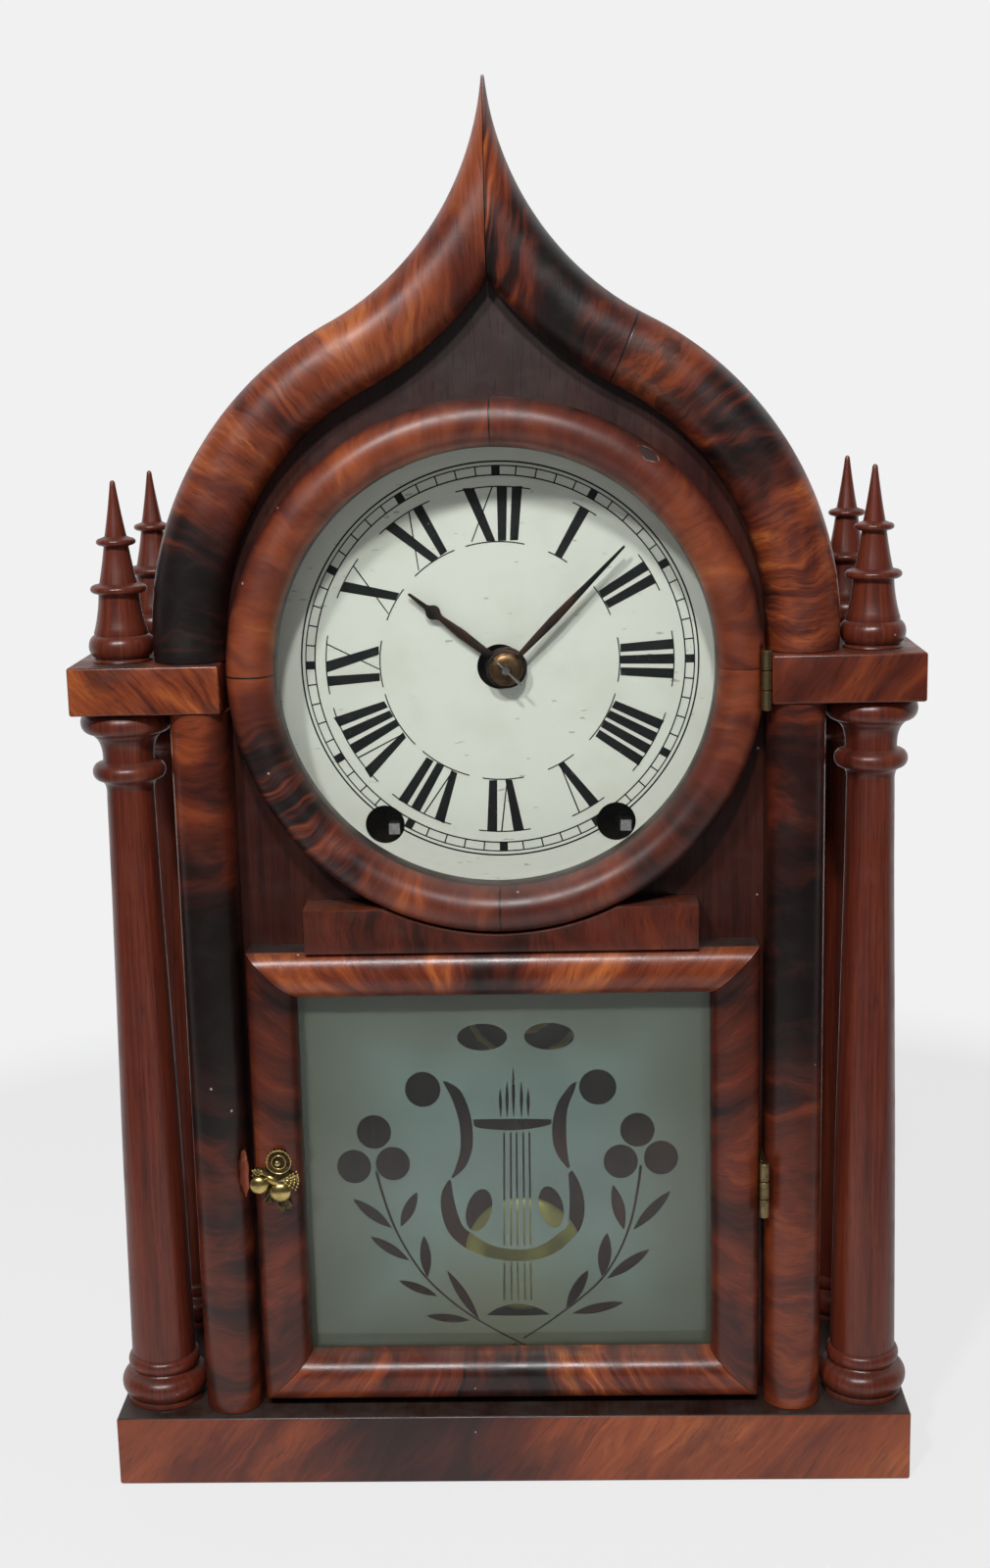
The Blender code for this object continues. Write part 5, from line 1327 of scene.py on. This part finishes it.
def sprig_leaf(tip, stalk, width):
    """A slim pointed leaf from its tip to just short of its stem."""
    start, end = Vector(tip), Vector(stalk)
    run = (end - start).normalized()
    end = end - run * 1.0
    side = Vector((run.y, -run.x)) * width / 2
    shares = ((0.0, 0.0), (0.14, 0.5), (0.32, 0.86), (0.52, 1.0), (0.72, 0.82), (0.88, 0.45), (1.0, 0.1))
    one = [tuple(start.lerp(end, share) + side * swell) for share, swell in shares]
    other = [tuple(start.lerp(end, share) - side * swell) for share, swell in shares]
    return smooth_through(one, 4) + smooth_through(other, 4)[:0:-1]


def cut_pattern():
    """Outlines of the openings in the frosting; strings and spikes are given by their places across."""
    string_top, bar_foot, string_foot = 132.9, 139.2, 65.6
    holes = [oval(*shape) for shape in TOP_OVALS + ARM_ENDS]
    holes += [between(*edges) for edges in (LYRE_LEFT_ARM, LYRE_RIGHT_ARM, LYRE_BOWL, LYRE_BAR)]
    for top, low, foot in LYRE_STRINGS:
        holes.append(ribbon([(top, string_top), (low, 88.0)], [0.75, 0.75]))
        holes.append(ribbon([(low - 0.1, 80.8), (foot, string_foot)], [0.75, 0.75]))
    for tip, height, foot in LYRE_SPIKES:
        middle = ((tip + foot) / 2, (height + bar_foot) / 2)
        holes.append(ribbon([(tip, height), middle, (foot, bar_foot)], [0.12, 1.25, 0.3]))
    holes += [oval(*shape) for shape in LYRE_PETALS]
    holes.append(between(*LYRE_FOOT))
    holes += [ribbon(stem, STEM_WIDTHS) for stem in STEMS]
    holes.append(ribbon([(2.2, 48.1), (-2.4, 45.4)], [0.6, 0.5]))
    holes += [oval(x, z, 6.4, 6.7) for x, z in BERRIES]
    holes += [sprig_leaf(*leaf) for leaf in LEAVES]
    return holes


def glasses():
    """The round dial glass, the tablet, and its frosting on the back with the pattern left clear."""
    radius, front, back, edge = 80.0, GLASS_FRONT, DIAL_GLASS_BACK, 0.2
    profile = [(0.0, front), (radius - edge, front), (radius, front + edge), (radius, back - edge),
               (radius - edge, back), (0.0, back)]
    dial = turned_mesh("dial_glass", profile, 128, (0.0, 0.0, RING_Z), upright=False)
    add_piece("dial_glass_pane", dial, "door", "clear_glass", DIAL_PANE, "dial_glass")
    half, low, high, border = 81.0, 42.4, 193.9, 0.5
    tablet = box_mesh("tablet", (-half, front, low), (half, TABLET_BACK, high), 0.15)
    add_piece("tablet_glass_pane", tablet, "door", "etched_glass", TABLET_PANE, "tablet_glass")
    half, low, high = half - border, low + border, high - border
    ground = [(-half, low), (half, low), (half, high), (-half, high)]
    frost = slab_mesh("frost", [ground] + cut_pattern(), (TABLET_BACK + 0.05, TABLET_BACK + 0.2))
    add_piece("tablet_frosting", frost, "door", "etched_glass", FROST, "tablet_glass")


# Dial and hands

def dial_plate():
    """A painted round plate with holes for the hands and for winding."""
    outlines = [round_outline((DIAL_X, DIAL_Z), DIAL_RADIUS, 160), round_outline((DIAL_X, HANDS_Z), 8.2, 48)]
    outlines += [round_outline(middle, HOLE_RADIUS, 40) for middle in WINDING_HOLES]
    plate = slab_mesh("dial", outlines, (DIAL_FRONT, DIAL_BACK))
    add_piece("dial_plate_painted", plate, "case", "white_dial_paint", DIAL_PAINT, "dial_plate")


def numeral_strokes(hour):
    """Stroke outlines of one Roman numeral, as (across, out) points about its middle line."""
    low, high, serif = 43.6, 62.7, 0.45
    text = ("I", "II", "III", "IIII", "V", "VI", "VII", "VIII", "IX", "X", "XI", "XII")[hour - 1]
    advance = {"I": 4.55 if hour == 4 else 4.8, "V": 8.4, "X": 10.6}
    thick, hair = 3.3, 0.5
    half = thick / 2
    total = sum(advance[letter] for letter in text)
    across = -total / 2
    strokes = []

    def add(low_left, low_right, high_right, high_left):
        strokes.append([(low_left, low), (low_right, low), (high_right, high), (high_left, high)])

    for letter in text:
        width = advance[letter]
        left, right = across + 0.5, across + width - 0.5
        middle = across + width / 2
        if letter == "I":
            add(middle - half, middle + half, middle + half, middle - half)
        elif letter == "V":
            add(middle - 1.2, middle + 1.6, left + thick, left - 0.2)
            add(middle + 0.6, middle + 0.6 + hair, right, right - hair)
        else:
            add(right - thick, right + 0.2, left + thick + 0.3, left)
            add(left, left + hair, right, right - hair)
        across += width
    for out, reach in ((low - serif, total / 2 + 2.0), (high, total / 2 + 1.9)):
        bottom = [(-reach + 2 * reach * step / 12, out) for step in range(13)]
        strokes.append(bottom + [(x, out + serif) for x, out in reversed(bottom)])
    return strokes


def add_ink(bm, outline):
    """A very thin printed prism on the dial from its front-view outline."""
    front = [bm.verts.new((x, PRINT_FRONT, z)) for x, z in outline]
    back = [bm.verts.new((x, PRINT_BACK, z)) for x, z in outline]
    bm.faces.new(front)
    bm.faces.new(back[::-1])
    count = len(outline)
    for index in range(count):
        after = (index + 1) % count
        bm.faces.new((front[index], back[index], back[after], front[after]))


def numerals():
    """Painted Roman hours: strokes draw together inward, and some hours stray by a degree or two."""
    bm = new_bmesh()
    middle_radius = 52.8
    strays = {4: -0.5, 6: -0.5, 7: -1.1, 8: 0.9, 11: -2.0, 12: -1.0}
    for hour in range(1, 13):
        angle = math.radians(30.0 * hour + strays.get(hour, 0.0))
        spread = 0.02 if hour == 8 else 0.0122
        for stroke in numeral_strokes(hour):
            is_serif = len(stroke) > 4
            outline = []
            for across, out in stroke:
                side = across * (1.0 + spread * (out - middle_radius))
                turn = angle
                if is_serif:
                    turn += side / out
                    side = 0.0
                x = DIAL_X + out * math.sin(turn) + side * math.cos(turn)
                z = DIAL_Z + out * math.cos(turn) - side * math.sin(turn)
                outline.append((x, z))
            add_ink(bm, outline)
    add_piece("dial_numerals", finished(bm, "numerals"), "case", "white_dial_paint", INK)


def track_ring_tree():
    """Marks set round a circle, each pointing to its middle."""
    tree = bpy.data.node_groups.new("track_marks", "GeometryNodeTree")
    for label, kind, value in (("Count", "Int", 60), ("Radius", "Float", 0.0686), ("Length", "Float", 0.0033),
                               ("Width", "Float", 0.0005), ("Depth", "Float", 0.00005)):
        socket = tree.interface.new_socket(label, in_out="INPUT", socket_type="NodeSocket" + kind)
        socket.default_value = value
    tree.interface.new_socket("Ink", in_out="INPUT", socket_type="NodeSocketMaterial")
    tree.interface.new_socket("Marks", in_out="OUTPUT", socket_type="NodeSocketGeometry")
    given = tree.nodes.new("NodeGroupInput").outputs
    end = tree.nodes.new("NodeGroupOutput")
    circle = node(tree, "GeometryNodeMeshCircle", {"Vertices": given["Count"], "Radius": given["Radius"]})
    size = joined(tree, given["Length"], given["Width"], given["Depth"])
    mark = node(tree, "GeometryNodeMeshCube", {"Size": size})
    outward = node(tree, "GeometryNodeInputPosition").outputs[0]
    turn = node(tree, "FunctionNodeAlignRotationToVector", {"Vector": outward}, axis="X")
    inputs = {"Points": circle.outputs[0], "Instance": mark.outputs[0], "Rotation": turn.outputs[0]}
    placed = node(tree, "GeometryNodeInstanceOnPoints", inputs)
    solid = node(tree, "GeometryNodeRealizeInstances", {0: placed.outputs[0]})
    inked = node(tree, "GeometryNodeSetMaterial", {"Geometry": solid.outputs[0], "Material": given["Ink"]})
    tree.links.new(inked.outputs[0], end.inputs[0])
    return tree


def track_marks(tree, count, width, depth):
    """One ring of marks as a plain mesh standing on the dial."""
    holder = show("marks", bpy.data.meshes.new("marks"))
    marks = holder.modifiers.new("marks", "NODES")
    marks.node_group = tree
    values = {"Count": count, "Radius": TRACK_RADIUS * MM, "Length": TRACK_WIDTH * MM, "Width": width * MM,
              "Depth": depth * MM, "Ink": INK}
    for item in tree.interface.items_tree:
        if item.name in values and item.in_out == "INPUT":
            marks[item.identifier] = values[item.name]
    mesh = plain_mesh(holder)
    stand = Matrix.Translation((DIAL_X * MM, (DIAL_FRONT - 0.03) * MM, DIAL_Z * MM))
    mesh.transform(stand @ Matrix.Rotation(math.pi / 2, 4, "X"))
    return mesh


def clear_of_holes(mesh):
    """A printed mesh less what would hang over the winding holes."""
    for x, z in WINDING_HOLES:
        room = rod_mesh("hole_room", HOLE_RADIUS, DIAL_FRONT - 0.8, DIAL_FRONT + 1.2, 40, x, z)
        mesh = carved(mesh, room)
    return mesh


def minute_track():
    """Sixty ticks and twelve blocks, with thin lines round them."""
    tree = track_ring_tree()
    for name, count, width, depth in (
        ("dial_minute_ticks", 60, 0.5, 0.05), ("dial_five_minute_blocks", 12, 3.0, 0.09),
    ):
        marks = clear_of_holes(track_marks(tree, count, width, depth))
        add_piece(name, marks, "case", "white_dial_paint", None)
    parts = []
    for radius, width in ((71.8, 0.6), (70.3, 0.45), (67.0, 0.5)):
        outer, inner = radius + width / 2, radius - width / 2
        profile = [(outer, PRINT_FRONT), (inner, PRINT_FRONT), (inner, PRINT_BACK), (outer, PRINT_BACK)]
        parts.append(turned_mesh("line", profile, 180, (DIAL_X, 0.0, DIAL_Z), upright=False, closed=True))
    lines = clear_of_holes(merged("lines", parts))
    add_piece("dial_track_lines", lines, "case", "white_dial_paint", INK)


def hand_mesh(name, angle, boss, half_widths, span):
    """A flat hand with a round boss, from half widths at lengths along it."""
    def point(along, across):
        x = HANDS_X + along * math.sin(angle) + across * math.cos(angle)
        return (x, HANDS_Z + along * math.cos(angle) - across * math.sin(angle))

    steps = 40
    spread = math.asin(half_widths[0][1] / boss)
    outline = []
    for step in range(steps + 1):
        turn = spread + (math.tau - 2 * spread) * step / steps
        outline.append(point(boss * math.cos(turn), boss * math.sin(turn)))
    outline += [point(along, -half) for along, half in half_widths]
    outline += [point(along, half) for along, half in reversed(half_widths[:-1])]
    return slab_mesh(name, [outline, round_outline((HANDS_X, HANDS_Z), HANDS_BORE, 24)], span, 0.12)


def hands():
    """Two blackened hands under a domed washer, held by a taper pin."""
    turns = [math.radians(35.0 + 11.0 * step) for step in range(11)]
    bulb_out, bulb = 33.0, 2.65
    hour = [(8.0, 1.35), (14.0, 1.55), (20.0, 1.75), (26.0, 1.35), (29.6, 1.0)]
    hour += [(bulb_out - bulb * math.cos(turn), bulb * math.sin(turn)) for turn in turns]
    hour += [(36.2, 0.9), (40.0, 0.7), (43.8, 0.5), (44.2, 0.2)]
    mesh = hand_mesh("hour", HOUR_ANGLE, 7.5, hour, (-25.5, -24.7))
    add_piece("hour_hand_blackened", mesh, "hour_hand_set", "black_steel", BLACK_STEEL, "hour_hand")
    minute = [(8.0, 1.0), (16.0, 1.35), (25.0, 1.65), (35.0, 1.3), (45.0, 0.9), (60.6, 0.45), (61.1, 0.2)]
    mesh = hand_mesh("minute", MINUTE_ANGLE, 6.8, minute, (-29.0, -28.2))
    add_piece("minute_hand_blackened", mesh, "minute_hand_set", "black_steel", BLACK_STEEL, "minute_hand")
    profile = [(HANDS_BORE, -29.3), (HANDS_BORE, -31.0), (2.2, -31.2), (4.6, -30.7), (5.7, -30.1),
               (6.0, -29.6), (5.8, -29.3)]
    washer = turned_mesh("washer", profile, 64, (HANDS_X, 0.0, HANDS_Z), upright=False, closed=True)
    add_piece("hand_washer_domed", washer, "minute_hand_set", "brass", BRONZE, "hand_washer")
    profile = [(0.0, -4.4), (0.28, -4.3), (0.36, -4.0), (0.5, 7.6), (0.42, 8.0), (0.0, 8.1)]
    pin = turned_mesh("pin", profile, 16, (0.0, 0.0, 0.0))
    lay = Matrix.Translation((HANDS_X * MM, -32.4 * MM, HANDS_Z * MM))
    pin.transform(lay @ Matrix.Rotation(math.radians(135.0), 4, "Y"))
    add_piece("hand_taper_pin", pin, "minute_hand_set", "brass", PIN_STEEL)


def pendulum():
    """A polished lens-shaped bob; the rod is the solid's own."""
    middle_y, middle_z, radius, half = 32.0, 58.0, 21.5, 4.5
    profile = [(0.0, middle_y - half)] + bow((0.0, middle_y), (radius, half), -88.0, 88.0, 30)
    profile.append((0.0, middle_y + half))
    bob = turned_mesh("bob", profile, 72, (HANDS_X, 0.0, middle_z), upright=False)
    add_piece("pendulum_bob_polished", bob, "pendulum", "brass", BOB_BRASS, "pendulum_bob")


def movement_finishes():
    """Give the movement's solids their old brass and steel."""
    steel = {"latch_tongue", "time_mainspring", "strike_mainspring", "pendulum_rod", "verge"}
    winding = {"time_winding_arbor", "strike_winding_arbor"}
    # The front plate and wheels behind the dial take the near-black brass as painted shade.
    dull = {"movement_front_plate", "hour_wheel", "minute_wheel"}
    brass = {"movement_back_plate", "center_wheel", "time_great_wheel", "time_second_wheel", "third_wheel",
             "escape_wheel", "strike_great_wheel", "strike_pin_wheel", "fly", "hammer"}
    finishes = ((steel, STEEL), (winding, ARBOR_STEEL), ({"minute_arbor"}, PIN_STEEL), (dull, PLATE_BRASS_PAINTED_SHADE),
                (brass, BRASS), ({"gong"}, GONG_BRASS_PAINTED_LIGHT))
    for names, material in finishes:
        for name in sorted(names):
            mesh = bpy.data.objects[name].data
            mesh.materials.clear()
            mesh.materials.append(material)


# Stage

def stage():
    """A round pale floor, the room's light and two lamps in front."""
    floor_mesh = bpy.data.meshes.new("floor")
    bm = bmesh.new()
    bmesh.ops.create_circle(bm, cap_ends=True, radius=FLOOR_RADIUS, segments=96)
    bm.to_mesh(floor_mesh)
    bm.free()
    floor_mesh.materials.append(pale_floor())
    floor = show("floor", floor_mesh)
    floor.location.z = -0.0002
    studio_world()
    for name, place, power in LAMPS:
        lamp = bpy.data.lights.new(name, "AREA")
        lamp.energy = power
        lamp.size = LAMP_SIZE
        holder = show(name, lamp)
        holder.location = place
        holder.rotation_euler = (Vector(LAMP_AIM) - Vector(place)).to_track_quat("-Z", "Y").to_euler()


def sight_lines(tree, path):
    """Masks of rays with no diffuse bounce, and of those that only passed through glass."""
    straight = calc(tree, "LESS_THAN", path["Diffuse Depth"], 0.5)
    unmirrored = calc(tree, "LESS_THAN", path["Glossy Depth"], 0.5)
    through = times(tree, times(tree, path["Is Transmission Ray"], straight), unmirrored)
    return straight, through


def pale_floor():
    """A pale table that keeps the shadow and melts into the backdrop toward its rim."""
    material, tree, shader = new_material("pale_floor")
    place = object_place(tree)
    mottle = noise(tree, place, 3.0, 2.0)
    colour = mix(tree, mottle, rgb(0.84, 0.84, 0.84), rgb(0.87, 0.87, 0.87))
    surface(tree, shader, colour)
    set_plain(shader, {"Roughness": 0.7})
    path = node(tree, "ShaderNodeLightPath").outputs
    straight, through = sight_lines(tree, path)
    mirrored = times(tree, path["Is Glossy Ray"], straight)
    seen = larger(tree, larger(tree, path["Is Camera Ray"], through), mirrored)
    reach = node(tree, "ShaderNodeVectorMath", {0: place}, operation="LENGTH").outputs["Value"]
    paled = times(tree, path["Is Camera Ray"], 0.78)
    fade = times(tree, seen, larger(tree, band(tree, reach, 0.2, 0.6), paled))
    toward = split(tree, place)[1]
    front = times(tree, mirrored, band(tree, toward, -0.2, 0.2, 1.0, 0.0))
    rim = mix(tree, front, BACKDROP, ROOM)
    mix_shaders(tree, fade, shader, node(tree, "ShaderNodeEmission", {0: rim, 1: 1.0}))
    return material


def studio_world():
    """Even soft light; a white backdrop is seen directly, through glass and in gloss that looks back."""
    world = bpy.data.worlds.new("studio")
    bpy.context.scene.world = world
    world.use_nodes = True
    tree = world.node_tree
    tree.nodes.clear()
    path = node(tree, "ShaderNodeLightPath").outputs
    straight, through = sight_lines(tree, path)
    seen = larger(tree, path["Is Camera Ray"], through)
    direction = node(tree, "ShaderNodeTexCoord").outputs["Generated"]
    behind = split(tree, direction)[1]
    room = mix(tree, band(tree, behind, -0.2, 0.5), ROOM, BACKDROP)
    mirrored = times(tree, path["Is Glossy Ray"], straight)
    colour = mix(tree, mirrored, rgb(0.27, 0.27, 0.275), room)
    colour = mix(tree, seen, colour, BACKDROP)
    background = node(tree, "ShaderNodeBackground", {0: colour, 1: 1.0})
    end = node(tree, "ShaderNodeOutputWorld")
    tree.links.new(background.outputs[0], end.inputs[0])


def camera():
    """The photograph's view point, found from its edges."""
    yaw, pitch, roll = (math.radians(angle) for angle in (CAMERA_YAW, CAMERA_PITCH, CAMERA_ROLL))
    turn = Matrix.Rotation(yaw, 3, "Z") @ Matrix.Rotation(pitch, 3, "X") @ Matrix.Rotation(roll, 3, "Y")
    right, ahead, up = turn.col
    data = bpy.data.cameras.new("photo_camera")
    data.lens = CAMERA_LENS
    data.sensor_width = CAMERA_SENSOR
    data.clip_start = 0.01
    holder = show("photo_camera", data)
    face = Matrix((right, up, -ahead)).transposed().to_4x4()
    holder.matrix_world = Matrix.Translation(CAMERA_PLACE) @ face
    bpy.context.scene.camera = holder


camera()
plinth_and_blocks()
columns_and_finials()
pilasters()
arch_mouldings()
boards()
bezel_and_bridge()
door_rails()
hinges()
latch()
glasses()
dial_plate()
numerals()
minute_track()
hands()
pendulum()
movement_finishes()
stage()
bpy.context.scene.view_settings.view_transform = "Standard"
